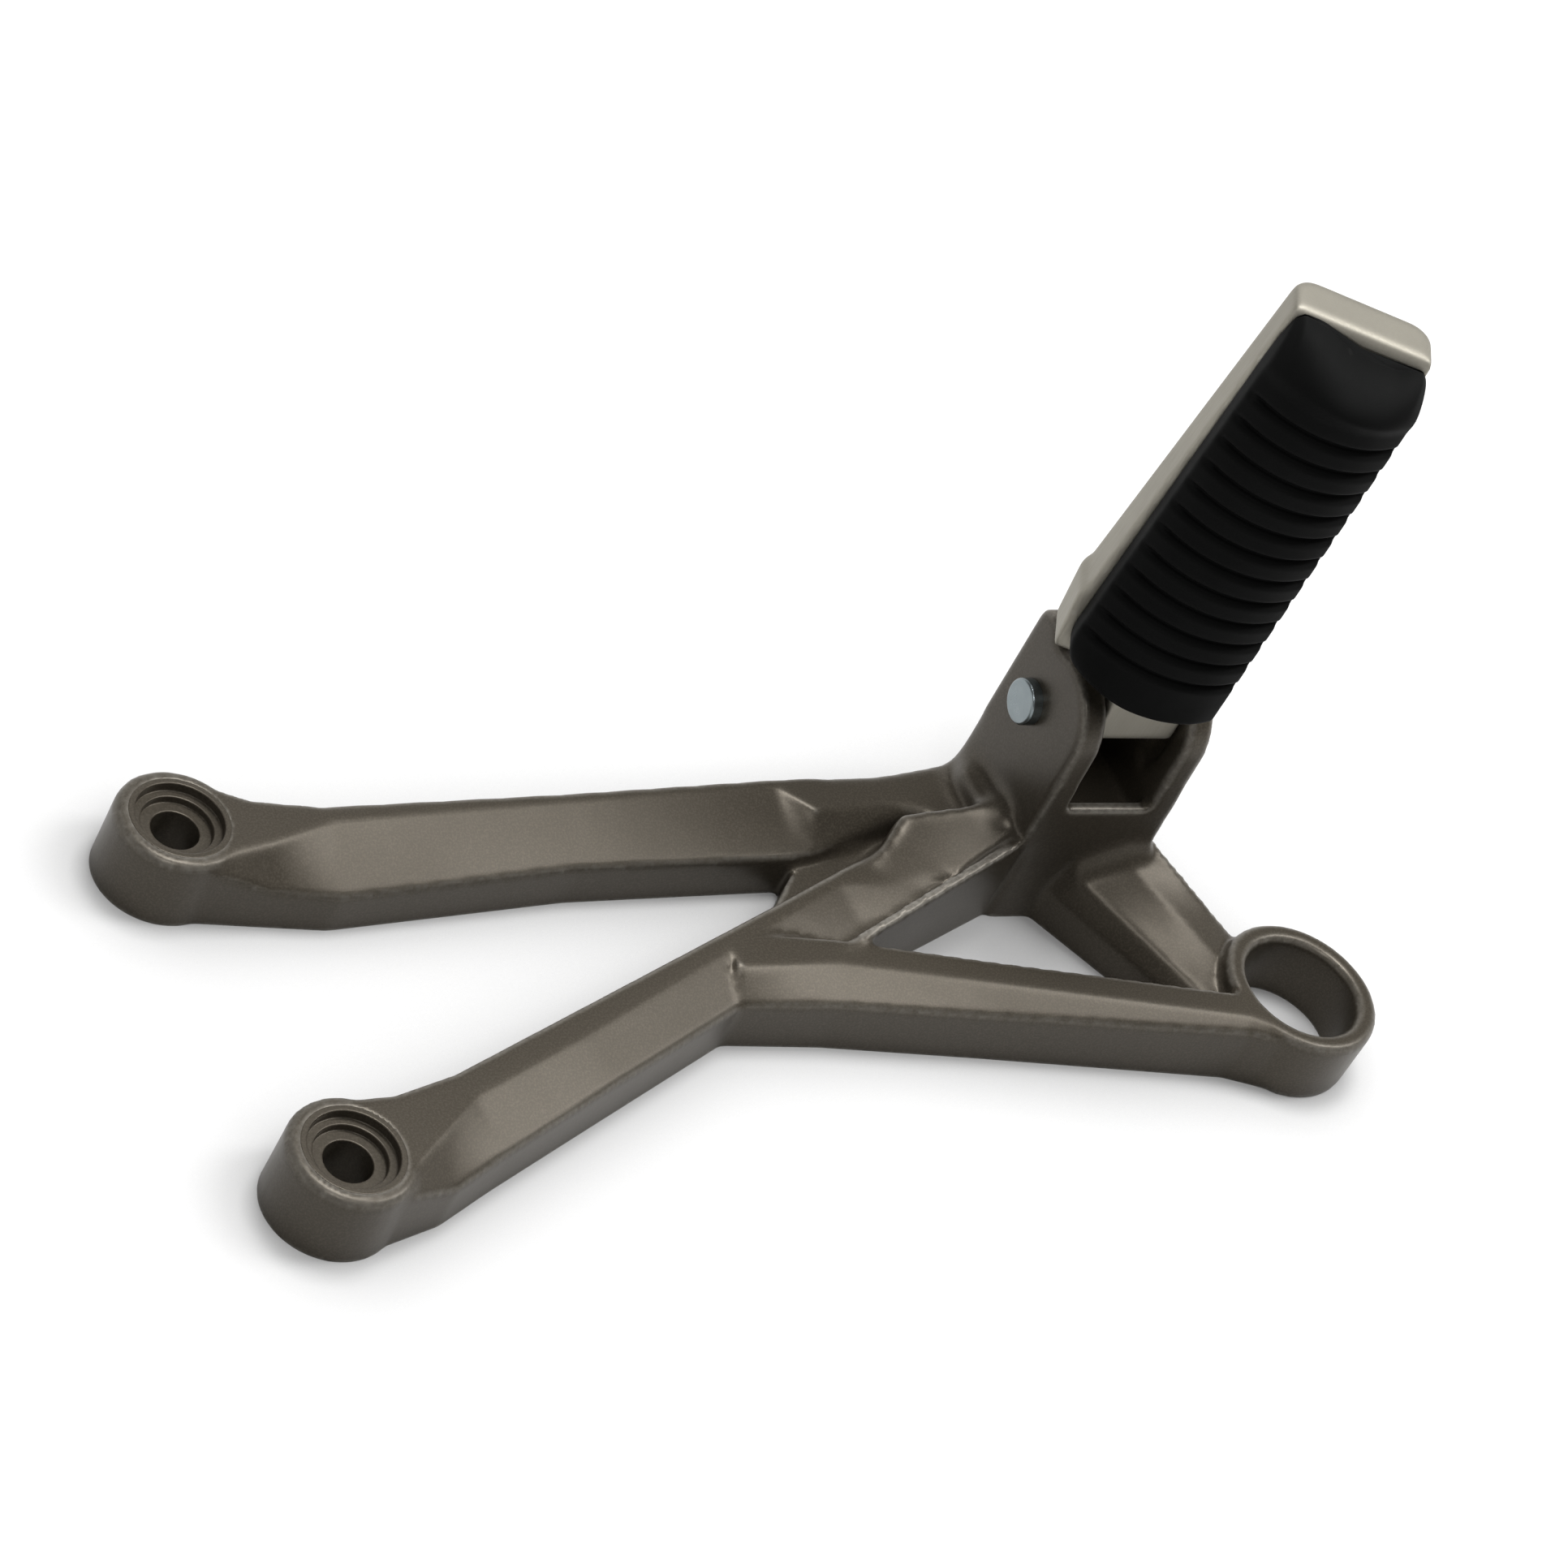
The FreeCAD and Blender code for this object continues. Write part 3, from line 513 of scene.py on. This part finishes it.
def hub_share(points):
    """1 in the hub between the arms and the clevis and 0 away from it and along the front wall's crest."""
    x, y, z = points.T
    along = smooth_step(*HUB_START_X, x) * (1.0 - smooth_step(*HUB_END_X, x))
    crest = CREST_START[1] + (x - CREST_START[0]) * CREST_SLOPE
    behind = smooth_step(*CREST_FADE, y - crest)
    return along * behind * (1.0 - smooth_step(*HUB_HIGH_Z, z)) * smooth_step(*HUB_LOW_Z, z)


def soft_copy(node, name, cell, passes, sink=0.0, surfaces=()):
    """Copy of a solid, joined with surfaces, as an even net with its edges relaxed into small radii."""
    source = frame["nodes"][node].data.copy()
    if sink > 0.0:
        sink_foot(source, sink)
    join_surfaces(source, surfaces)
    rough = new_object(name + "_rough", source)
    weld = rough.modifiers.new("weld", "WELD")
    weld.merge_threshold = SAME_POINT
    net = rough.modifiers.new("net", "REMESH")
    net.mode = "VOXEL"
    net.voxel_size = cell
    bpy.context.view_layer.update()
    graph = bpy.context.evaluated_depsgraph_get()
    mesh = bpy.data.meshes.new_from_object(rough.evaluated_get(graph))
    bpy.data.objects.remove(rough)
    bpy.data.meshes.remove(source)
    mesh.name = name
    mesh.materials.clear()
    relax(mesh, passes)
    shade_smooth(mesh)
    return new_object(name, mesh)


def closed_net(name, points):
    """Mesh of a (rows, columns, 3) array that closes round its columns; the end rows are capped by fans."""
    rows, columns = points.shape[:2]
    ends = np.stack([points[0].mean(axis=0), points[-1].mean(axis=0)])
    verts = np.concatenate([points.reshape(-1, 3), ends])
    i, j = np.meshgrid(np.arange(rows - 1), np.arange(columns), indexing="ij")
    k = (j + 1) % columns
    here, above = i * columns, (i + 1) * columns
    quads = np.stack([here + j, above + j, above + k, here + k], axis=-1)
    around = np.arange(columns)
    after = (around + 1) % columns
    low = np.stack([np.full(columns, rows * columns), around, after], axis=-1)
    last = (rows - 1) * columns
    high = np.stack([np.full(columns, rows * columns + 1), last + after, last + around], axis=-1)
    mesh = bpy.data.meshes.new(name)
    faces = quads.reshape(-1, 4).tolist() + low.tolist() + high.tolist()
    mesh.from_pydata(verts.tolist(), [], faces)
    shade_smooth(mesh)
    return new_object(name, mesh)


def smooth_step(low, high, value):
    """Runs from 0 at low to 1 at high, level at both ends."""
    t = np.clip((value - low) / (high - low), 0.0, 1.0)
    return t * t * (3.0 - 2.0 * t)


def node(tree, kind, inputs, **attributes):
    """Add a node; each input is a value, or a socket that is linked to it."""
    made = tree.nodes.new(kind)
    for key, value in attributes.items():
        setattr(made, key, value)
    for key, value in inputs.items():
        if isinstance(value, bpy.types.NodeSocket):
            tree.links.new(value, made.inputs[key])
        else:
            made.inputs[key].default_value = value
    return made


def noise(tree, coords, scale, detail=3.0, stretch=None):
    """Grey noise from 0 to 1 at a scale in features a metre."""
    if stretch is not None:
        coords = node(tree, "ShaderNodeMapping", {"Vector": coords, "Scale": stretch}).outputs["Vector"]
    inputs = {"Vector": coords, "Scale": scale, "Detail": detail}
    return node(tree, "ShaderNodeTexNoise", inputs).outputs["Fac"]


def span(tree, value, low, high, to_low, to_high):
    """Map a value from one range to another, held at both ends."""
    inputs = {"Value": value, "From Min": low, "From Max": high, "To Min": to_low, "To Max": to_high}
    return node(tree, "ShaderNodeMapRange", inputs, clamp=True).outputs["Result"]


def blend_colour(tree, share, first, second):
    """Mix of two colours, with share as the part of the second."""
    return node(tree, "ShaderNodeMix", {0: share, 6: first, 7: second}, data_type="RGBA").outputs[2]


def times(tree, first, second):
    """Product of two values."""
    return node(tree, "ShaderNodeMath", {0: first, 1: second}, operation="MULTIPLY").outputs[0]


def larger(tree, first, second):
    """The larger of two values."""
    return node(tree, "ShaderNodeMath", {0: first, 1: second}, operation="MAXIMUM").outputs[0]


def bump(tree, height, strength, distance, under=None):
    """Normal bent by a height, on top of another bent normal if one is given."""
    inputs = {"Height": height, "Strength": strength, "Distance": distance}
    if under is not None:
        inputs["Normal"] = under
    return node(tree, "ShaderNodeBump", inputs).outputs["Normal"]


def new_finish(name):
    """Material with an empty tree, its shader and its object coordinates."""
    finish = bpy.data.materials.new(name)
    finish.use_nodes = True
    tree = finish.node_tree
    tree.nodes.clear()
    shader = tree.nodes.new("ShaderNodeBsdfPrincipled")
    output = tree.nodes.new("ShaderNodeOutputMaterial")
    tree.links.new(shader.outputs["BSDF"], output.inputs["Surface"])
    coords = tree.nodes.new("ShaderNodeTexCoord").outputs["Object"]
    return finish, tree, shader, coords


def edge_share(tree, low, high):
    """Share of outer edge at a point: 0 on flats, 1 on the sharpest ridges."""
    pointed = tree.nodes.new("ShaderNodeNewGeometry").outputs["Pointiness"]
    return span(tree, pointed, low, high, 0.0, 1.0)


def casting_paint(settings, name, painted_light_share):
    """Warm grey metallic paint on a casting: fine flakes, slight grain, and a share of painted highlight on
    thin ridges and painted shade in hollows.
    """
    finish, tree, shader, coords = new_finish(name)
    flakes = span(tree, noise(tree, coords, 2600.0, 2.0), 0.42, 0.70, 0.0, 1.0)
    clouds = noise(tree, coords, 34.0, 4.0)
    grain = noise(tree, coords, 950.0, 4.0)
    body = blend_colour(tree, times(tree, flakes, 0.45), settings.paint, settings.flake)
    shaded = blend_colour(tree, span(tree, clouds, 0.3, 0.7, 0.0, 0.22), body, PAINT_CLOUD)
    if painted_light_share > 0.0:
        # Painted highlight: lighter colour on sharp ridges, broken up by the grain
        ridges = times(tree, edge_share(tree, 0.514, 0.555), span(tree, grain, 0.3, 0.6, 0.45, 1.0))
        bright = blend_colour(tree, times(tree, ridges, painted_light_share), shaded, PAINTED_RIDGE_HIGHLIGHT)
        # Painted shade: darker colour in hollows and creases
        hollow_shade = edge_share(tree, 0.49, 0.42)
        shaded = blend_colour(tree, times(tree, hollow_shade, 0.6 * painted_light_share), bright, PAINTED_HOLLOW_SHADE)
    tree.links.new(shaded, shader.inputs["Base Color"])
    tree.links.new(span(tree, clouds, 0.25, 0.75, 0.32, 0.38), shader.inputs["Roughness"])
    shader.inputs["Metallic"].default_value = 0.06
    shader.inputs["Specular IOR Level"].default_value = 0.48
    shader.inputs["Specular Tint"].default_value = PAINT_GLOSS
    rough = bump(tree, grain, 0.06, 0.00012)
    ripple = noise(tree, coords, 210.0, 2.0)
    tree.links.new(bump(tree, ripple, 0.05, 0.0004, rough), shader.inputs["Normal"])
    return finish


def peg_finish(settings):
    """Satin bare metal: brushed faintly along the footpeg, with soft handling marks and a painted highlight on
    sharp edges.
    """
    finish, tree, shader, coords = new_finish("peg_finish")
    brushed = noise(tree, coords, 260.0, 5.0, (9.0, 9.0, 0.6))
    marks = noise(tree, coords, 70.0, 5.0)
    worn = blend_colour(tree, span(tree, marks, 0.35, 0.7, 0.0, 0.5), settings.peg_metal, PEG_WORN)
    # Painted highlight: lighter colour on the sharp edges
    colour = blend_colour(tree, times(tree, edge_share(tree, 0.52, 0.60), 0.2), worn, PEG_EDGE_HIGHLIGHT)
    tree.links.new(colour, shader.inputs["Base Color"])
    tree.links.new(span(tree, brushed, 0.3, 0.7, 0.54, 0.64), shader.inputs["Roughness"])
    shader.inputs["Metallic"].default_value = 0.95
    tree.links.new(bump(tree, brushed, 0.12, 0.00006), shader.inputs["Normal"])
    return finish


def plated_finish(settings):
    """Zinc plating: pale, slightly blue, with a fine spangle."""
    finish, tree, shader, coords = new_finish("plated_finish")
    spangle = noise(tree, coords, 420.0, 2.0)
    marks = noise(tree, coords, 240.0, 4.0)
    pale = span(tree, spangle, 0.35, 0.65, 0.0, 0.3)
    colour = blend_colour(tree, pale, settings.plating, PLATING_SPANGLE)
    tree.links.new(colour, shader.inputs["Base Color"])
    tree.links.new(span(tree, marks, 0.3, 0.7, 0.26, 0.36), shader.inputs["Roughness"])
    shader.inputs["Metallic"].default_value = 0.9
    tree.links.new(bump(tree, marks, 0.05, 0.00003), shader.inputs["Normal"])
    return finish


def rubber_finish(settings):
    """Matt moulded rubber: fine grain, a dusty bloom on the ribs and dark grooves."""
    finish, tree, shader, coords = new_finish("rubber_finish")
    grain = noise(tree, coords, 2600.0, 3.0)
    bloom = noise(tree, coords, 85.0, 5.0)
    dusty = times(tree, edge_share(tree, 0.50, 0.58), span(tree, bloom, 0.3, 0.7, 0.3, 1.0))
    colour = blend_colour(tree, times(tree, dusty, 0.45), settings.colour, RUBBER_BLOOM)
    tree.links.new(colour, shader.inputs["Base Color"])
    tree.links.new(span(tree, bloom, 0.25, 0.75, 0.60, 0.74), shader.inputs["Roughness"])
    shader.inputs["Specular IOR Level"].default_value = 0.065
    tree.links.new(bump(tree, grain, 0.25, 0.00006), shader.inputs["Normal"])
    return finish


def pad_section(columns, half, side, crown):
    """Section of the pad as (rows, columns, 2): flat back, flat sides and a circular crown.

    half, side and crown are arrays, one value a row. The crown's circle goes through both
    side tops and the apex, so its radius is (half^2 + rise^2) / (2 rise) with rise = crown - side.
    """
    back = columns // 5
    flank = columns // 14
    arc = columns - back - 2 * flank
    rise = crown - side
    radius = (half ** 2 + rise ** 2) / (2 * rise)
    swing = np.arcsin(np.clip(half / radius, -1.0, 1.0))
    turn = np.linspace(1.0, -1.0, arc, endpoint=False)[None, :] * swing[:, None]
    arc_u = radius[:, None] * np.sin(turn)
    arc_v = -(crown - radius)[:, None] - radius[:, None] * np.cos(turn)
    share = np.linspace(0.0, 1.0, flank, endpoint=False)[None, :]
    down_v = -side[:, None] * share
    up_v = -side[:, None] * (1.0 - share)
    ends = np.ones((1, flank)) * half[:, None]
    back_u = (np.linspace(-1.0, 1.0, back, endpoint=False)[None, :]) * half[:, None]
    u = np.concatenate([back_u, ends, arc_u, -ends], axis=1)
    v = np.concatenate([np.zeros_like(back_u), down_v, arc_v, up_v], axis=1)
    return np.stack([u, v], axis=-1)


def soften_section(section, passes):
    """Round the corners of closed sections: each point goes to the mean of itself and its neighbours."""
    for _ in range(passes):
        section = 0.5 * section + 0.25 * (np.roll(section, 1, axis=1) + np.roll(section, -1, axis=1))
    return section


def pad_rows(pad, foot, tip):
    """Heights of the rows: even over the foot band and the ribs, then by equal turns over the domed end."""
    steps = np.arange(pad.grooves * RIB_ROWS + 1) / RIB_ROWS - 0.5
    groove_rows = foot + pad.first_groove + steps * pad.pitch
    band = foot + (groove_rows[0] - foot) * np.linspace(0.0, 1.0, BAND_ROWS, endpoint=False) ** 1.6
    rise = np.linspace(groove_rows[-1], tip - pad.dome, RISE_ROWS, endpoint=False)[1:]
    over = tip - pad.dome + pad.dome * np.sin(np.linspace(0.0, math.pi / 2, DOME_ROWS))
    return np.concatenate([band, groove_rows, rise, over])


def groove_depth(pad, z, foot, u, v):
    """Depth at a point: groove depth x a cosine bowl over the nearest groove x a share fading at the sides."""
    step = (z - foot - pad.first_groove) / pad.pitch
    nearest = np.clip(np.round(step), 0, pad.grooves - 1)
    gap = np.abs(step - nearest) * pad.pitch
    bowl = 0.5 + 0.5 * np.cos(np.pi * np.clip(gap / pad.groove_half, 0.0, 1.0))
    start = pad.side - np.where(u > 0.0, GROOVE_NEAR_SIDE, GROOVE_FAR_SIDE)
    fade = smooth_step(0.0, 1.0, (-v - start) / GROOVE_FADE)
    return pad.groove_depth * bowl[:, None] * fade


def end_drop(pad, across):
    """How far the end edge lies under its highest point, from -1 at one side to 1 at the other.

    It falls from a hump near one side to a long dip, climbs a little and turns down at both corners.
    """
    dip = pad.wave * smooth_step(-0.66, 0.08, across)
    climb = 0.42 * pad.wave * smooth_step(0.45, 0.80, across)
    corner = 0.75 * pad.wave * smooth_step(0.82, 1.0, np.abs(across))
    return dip - climb + corner


def pad_points(pad):
    """Rubber pad: a crowned section along the footpeg, cut by cross grooves, with a domed, wavy end.

    Over the dome every height is scaled by sqrt(1 - t^2), with t the share of the dome's length. The corner at
    the foot goes in by corner depth x (1 - sqrt(1 - t^2)), with t the share of the corner's height left below.
    """
    foot = PAD_LOW.z
    tip = PAD_HIGH.z + pad.hump
    z = pad_rows(pad, foot, tip)
    along = (z - foot) / (PEG_HIGH.z - foot)
    half = pad.half_foot + (pad.half_tip - pad.half_foot) * along
    turn = np.clip((z - tip + pad.dome) / pad.dome, 0.0, 1.0)
    share = np.sqrt(np.clip(1.0 - turn ** 2, 0.0, 1.0))
    raised = pad.swell * smooth_step(tip - pad.swell_start - 0.003, tip - pad.swell_start + 0.001, z)
    edge = np.clip(1.0 - (z - foot) / FOOT_EDGE, 0.0, 1.0)
    foot_round = FOOT_EDGE * (1.0 - np.sqrt(np.clip(1.0 - edge ** 2, 0.0, 1.0)))
    crown = pad.end_lip + (pad.crown + raised - pad.end_lip) * share - foot_round
    side = 0.3 * pad.end_lip + (pad.side + 0.35 * raised - 0.3 * pad.end_lip) * share - 0.5 * foot_round
    width = half - TIP_TAPER * (1.0 - share) - 0.6 * foot_round
    section = soften_section(pad_section(PAD_COLUMNS, width, side, crown), PAD_CORNER_PASSES)
    u, v = section[..., 0], section[..., 1]
    depth = groove_depth(pad, z, foot, u, v)
    out_u = 0.55 * u / half[:, None]
    size = np.sqrt(out_u ** 2 + 1.0)
    u = u - depth * out_u / size
    v = v + depth / size
    below = np.clip(1.0 - (z - foot) / pad.corner_up, 0.0, 1.0)
    corner = pad.corner_in * (1.0 - np.sqrt(1.0 - below ** 2))
    u = np.where(u < 0.0, u * (1.0 - corner / half)[:, None], u)
    near_tip = smooth_step(tip - WAVE_REACH, tip, z)[:, None]
    height = z[:, None] - near_tip * end_drop(pad, u / half[:, None])
    lean = -pad.lean * (1.0 - along)[:, None]
    cos, sin = math.cos(pad.twist), math.sin(pad.twist)
    x = PIVOT.x + pad.offset_x + (u + lean) * cos + v * sin
    y = PIVOT.y + pad.offset_y - (u + lean) * sin + v * cos
    return np.stack([x, y, height], axis=-1)


class FOOTREST_OT_bracket(bpy.types.Operator):
    """Make the soft-edged cast bracket and paint it"""

    bl_idname = "footrest.bracket"
    bl_label = "Cast bracket"

    def execute(self, context):
        casting = context.scene.footrest.casting
        sink = 3 * casting.bracket_cell
        surfaces = hub_surfaces(casting)
        piece = soft_copy(
            "bracket", "cast_bracket", casting.bracket_cell, casting.bracket_passes, sink, surfaces
        )
        relax(piece.data, casting.hub_passes, 0.5 * hub_share(mesh_points(piece.data))[:, None])
        open_eyelets(piece.data)
        trim_foot(piece.data)
        join_surfaces(piece.data, [eyelet_seat(centre) for centre in EYELETS], 1)
        shade_smooth(piece.data)
        # The bracket's paint carries painted highlight on ridges and painted shade in hollows; the seats' paint
        # has none
        piece.data.materials.append(casting_paint(casting, "casting_paint", 0.75))
        piece.data.materials.append(casting_paint(casting, "seat_paint", 0.0))
        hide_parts("bracket")
        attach(piece, FIXED_BODY)
        return {"FINISHED"}


class FOOTREST_OT_footpeg(bpy.types.Operator):
    """Make the satin metal footpeg"""

    bl_idname = "footrest.footpeg"
    bl_label = "Metal footpeg"

    def execute(self, context):
        casting = context.scene.footrest.casting
        piece = soft_copy("footpeg", "metal_footpeg", casting.peg_cell, casting.peg_passes)
        piece.data.materials.append(peg_finish(casting))
        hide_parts("footpeg")
        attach(piece, FOLDING_BODY)
        return {"FINISHED"}


class FOOTREST_OT_pad(bpy.types.Operator):
    """Make the ribbed rubber pad"""

    bl_idname = "footrest.pad"
    bl_label = "Rubber pad"

    def execute(self, context):
        pad = context.scene.footrest.pad
        piece = closed_net("ribbed_pad", pad_points(pad))
        piece.data.materials.append(rubber_finish(pad))
        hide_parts("rubber_pad")
        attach(piece, FOLDING_BODY)
        return {"FINISHED"}


class FOOTREST_OT_plating(bpy.types.Operator):
    """Plate the pins, washers, screws, ball and spring"""

    bl_idname = "footrest.plating"
    bl_label = "Plated hardware"

    def execute(self, context):
        finish = plated_finish(context.scene.footrest.casting)
        for name in PLATED_NODES:
            mesh = frame["nodes"][name].data
            mesh.materials.clear()
            mesh.materials.append(finish)
        return {"FINISHED"}


def camera_axes(stage):
    """Picture axes: right, up, and back to the camera, from azimuth, elevation and roll."""
    a, e, r = stage.azimuth, stage.elevation, stage.roll
    back = Vector((math.sin(a) * math.cos(e), -math.cos(a) * math.cos(e), math.sin(e)))
    level = Vector((math.cos(a), math.sin(a), 0.0))
    rise = back.cross(level)
    right = level * math.cos(r) + rise * math.sin(r)
    up = rise * math.cos(r) - level * math.sin(r)
    return right, up, back


def place_camera(stage):
    """Camera that sees the part as the photograph does."""
    right, up, back = camera_axes(stage)
    lens = bpy.data.cameras.new("camera")
    lens.sensor_fit = "HORIZONTAL"
    lens.angle = stage.view_angle
    lens.clip_start = 0.01
    camera = new_object("camera", lens)
    spot = right * stage.aim[0] + up * stage.aim[1] + back * stage.distance
    camera.matrix_world = Matrix.Translation(spot) @ Matrix((right, up, back)).transposed().to_4x4()
    bpy.context.scene.camera = camera


def add_lamp(name, spot, target, size, power):
    """Soft rectangular lamp that looks at a target."""
    lamp = bpy.data.lights.new(name, "AREA")
    lamp.shape = "RECTANGLE"
    lamp.size, lamp.size_y = size
    lamp.energy = power
    made = new_object(name, lamp)
    way = Vector(target) - Vector(spot)
    made.matrix_world = Matrix.Translation(spot) @ way.to_track_quat("-Z", "Y").to_matrix().to_4x4()


def seen_share(tree):
    """1 for rays that show the background: from the camera, in gloss and through clear things."""
    path = tree.nodes.new("ShaderNodeLightPath")
    first = larger(tree, path.outputs["Is Camera Ray"], path.outputs["Is Glossy Ray"])
    return larger(tree, first, path.outputs["Is Transmission Ray"])


def floor_finish(stage):
    """Pale floor that keeps shadows and reads as white where it is seen, also far from the lamps; near the part
    its glow is dimmed by ambient occlusion, a painted contact shadow.
    """
    finish = bpy.data.materials.new("floor")
    finish.use_nodes = True
    tree = finish.node_tree
    tree.nodes.clear()
    matt = node(tree, "ShaderNodeBsdfDiffuse", {"Color": stage.floor}).outputs["BSDF"]
    # Ambient occlusion dims the floor's glow near the part, out to the unshaded range: a painted contact
    # shadow, also seen in reflections
    hollow = node(tree, "ShaderNodeAmbientOcclusion", {"Distance": CONTACT_SHADE}, samples=8)
    open_share = hollow.outputs["AO"]
    place = tree.nodes.new("ShaderNodeTexCoord").outputs["Object"]
    away = node(tree, "ShaderNodeVectorMath", {0: place}, operation="LENGTH").outputs["Value"]
    white = span(tree, away, *WHITE_RANGE, NEAR_WHITE, 1.0)
    far = span(tree, away, *UNSHADED_RANGE, 0.0, 1.0)
    unshaded = larger(tree, times(tree, open_share, open_share), far)
    strength = times(tree, unshaded, times(tree, seen_share(tree), white))
    glow = node(tree, "ShaderNodeEmission", {"Strength": strength}).outputs["Emission"]
    both = node(tree, "ShaderNodeAddShader", {0: matt, 1: glow}).outputs["Shader"]
    node(tree, "ShaderNodeOutputMaterial", {"Surface": both})
    return finish


def lay_floor(stage):
    """Square floor with a low backdrop around it, so that low views end in white too."""
    square = FLOOR_REACH * np.array([[-1, -1, 0], [1, -1, 0], [1, 1, 0], [-1, 1, 0]])
    corners = np.vstack((square, square + np.array([0, 0, BACKDROP_HEIGHT])))
    faces = [[0, 1, 2, 3], [0, 4, 5, 1], [1, 5, 6, 2], [2, 6, 7, 3], [3, 7, 4, 0]]
    mesh = bpy.data.meshes.new("floor")
    mesh.from_pydata(corners.tolist(), [], faces)
    mesh.materials.append(floor_finish(stage))
    new_object("floor", mesh)


def light_sky(stage):
    """Even, slightly warm light from all around."""
    world = bpy.data.worlds.new("sky")
    world.use_nodes = True
    shine = world.node_tree.nodes["Background"]
    shine.inputs["Color"].default_value = SKY_COLOUR
    shine.inputs["Strength"].default_value = stage.sky
    bpy.context.scene.world = world


class FOOTREST_OT_stage(bpy.types.Operator):
    """Set up the camera, the lamps, the sky and the floor"""

    bl_idname = "footrest.stage"
    bl_label = "Stage"

    def execute(self, context):
        stage = context.scene.footrest.stage
        low, high = (Vector(corner) for corner in CAD_BOX)
        middle = (low + high) / 2
        middle.z = low.z
        place_camera(stage)
        lay_floor(stage)
        light_sky(stage)
        for name, place, size, power in LAMPS:
            add_lamp(name, middle + Vector(place), middle, size, getattr(stage, power))
        context.scene.view_settings.view_transform = "Standard"
        return {"FINISHED"}


class FOOTREST_PT_panel(bpy.types.Panel):
    """Lists the footrest's operators and sizes"""

    bl_label = "Footrest"
    bl_idname = "FOOTREST_PT_panel"
    bl_space_type = "VIEW_3D"
    bl_region_type = "UI"
    bl_category = "Footrest"

    def draw(self, context):
        for operator in OPERATORS:
            self.layout.operator(operator.bl_idname)
        settings = context.scene.footrest
        for group in (settings.casting, settings.pad, settings.stage):
            box = self.layout.box()
            for name in group.__annotations__:
                box.prop(group, name)


OPERATORS = (
    FOOTREST_OT_bracket, FOOTREST_OT_footpeg, FOOTREST_OT_pad, FOOTREST_OT_plating, FOOTREST_OT_stage,
)
GROUPS = (CastingSettings, PadSettings, StageSettings, FootrestSettings)
CLASSES = GROUPS + OPERATORS + (FOOTREST_PT_panel,)


def register():
    for item in CLASSES:
        bpy.utils.register_class(item)
    bpy.types.Scene.footrest = PointerProperty(type=FootrestSettings)


def unregister():
    del bpy.types.Scene.footrest
    for item in reversed(CLASSES):
        bpy.utils.unregister_class(item)


def main():
    register()
    bpy.ops.footrest.bracket()
    bpy.ops.footrest.footpeg()
    bpy.ops.footrest.pad()
    bpy.ops.footrest.plating()
    bpy.ops.footrest.stage()


if __name__ == "__main__":
    main()
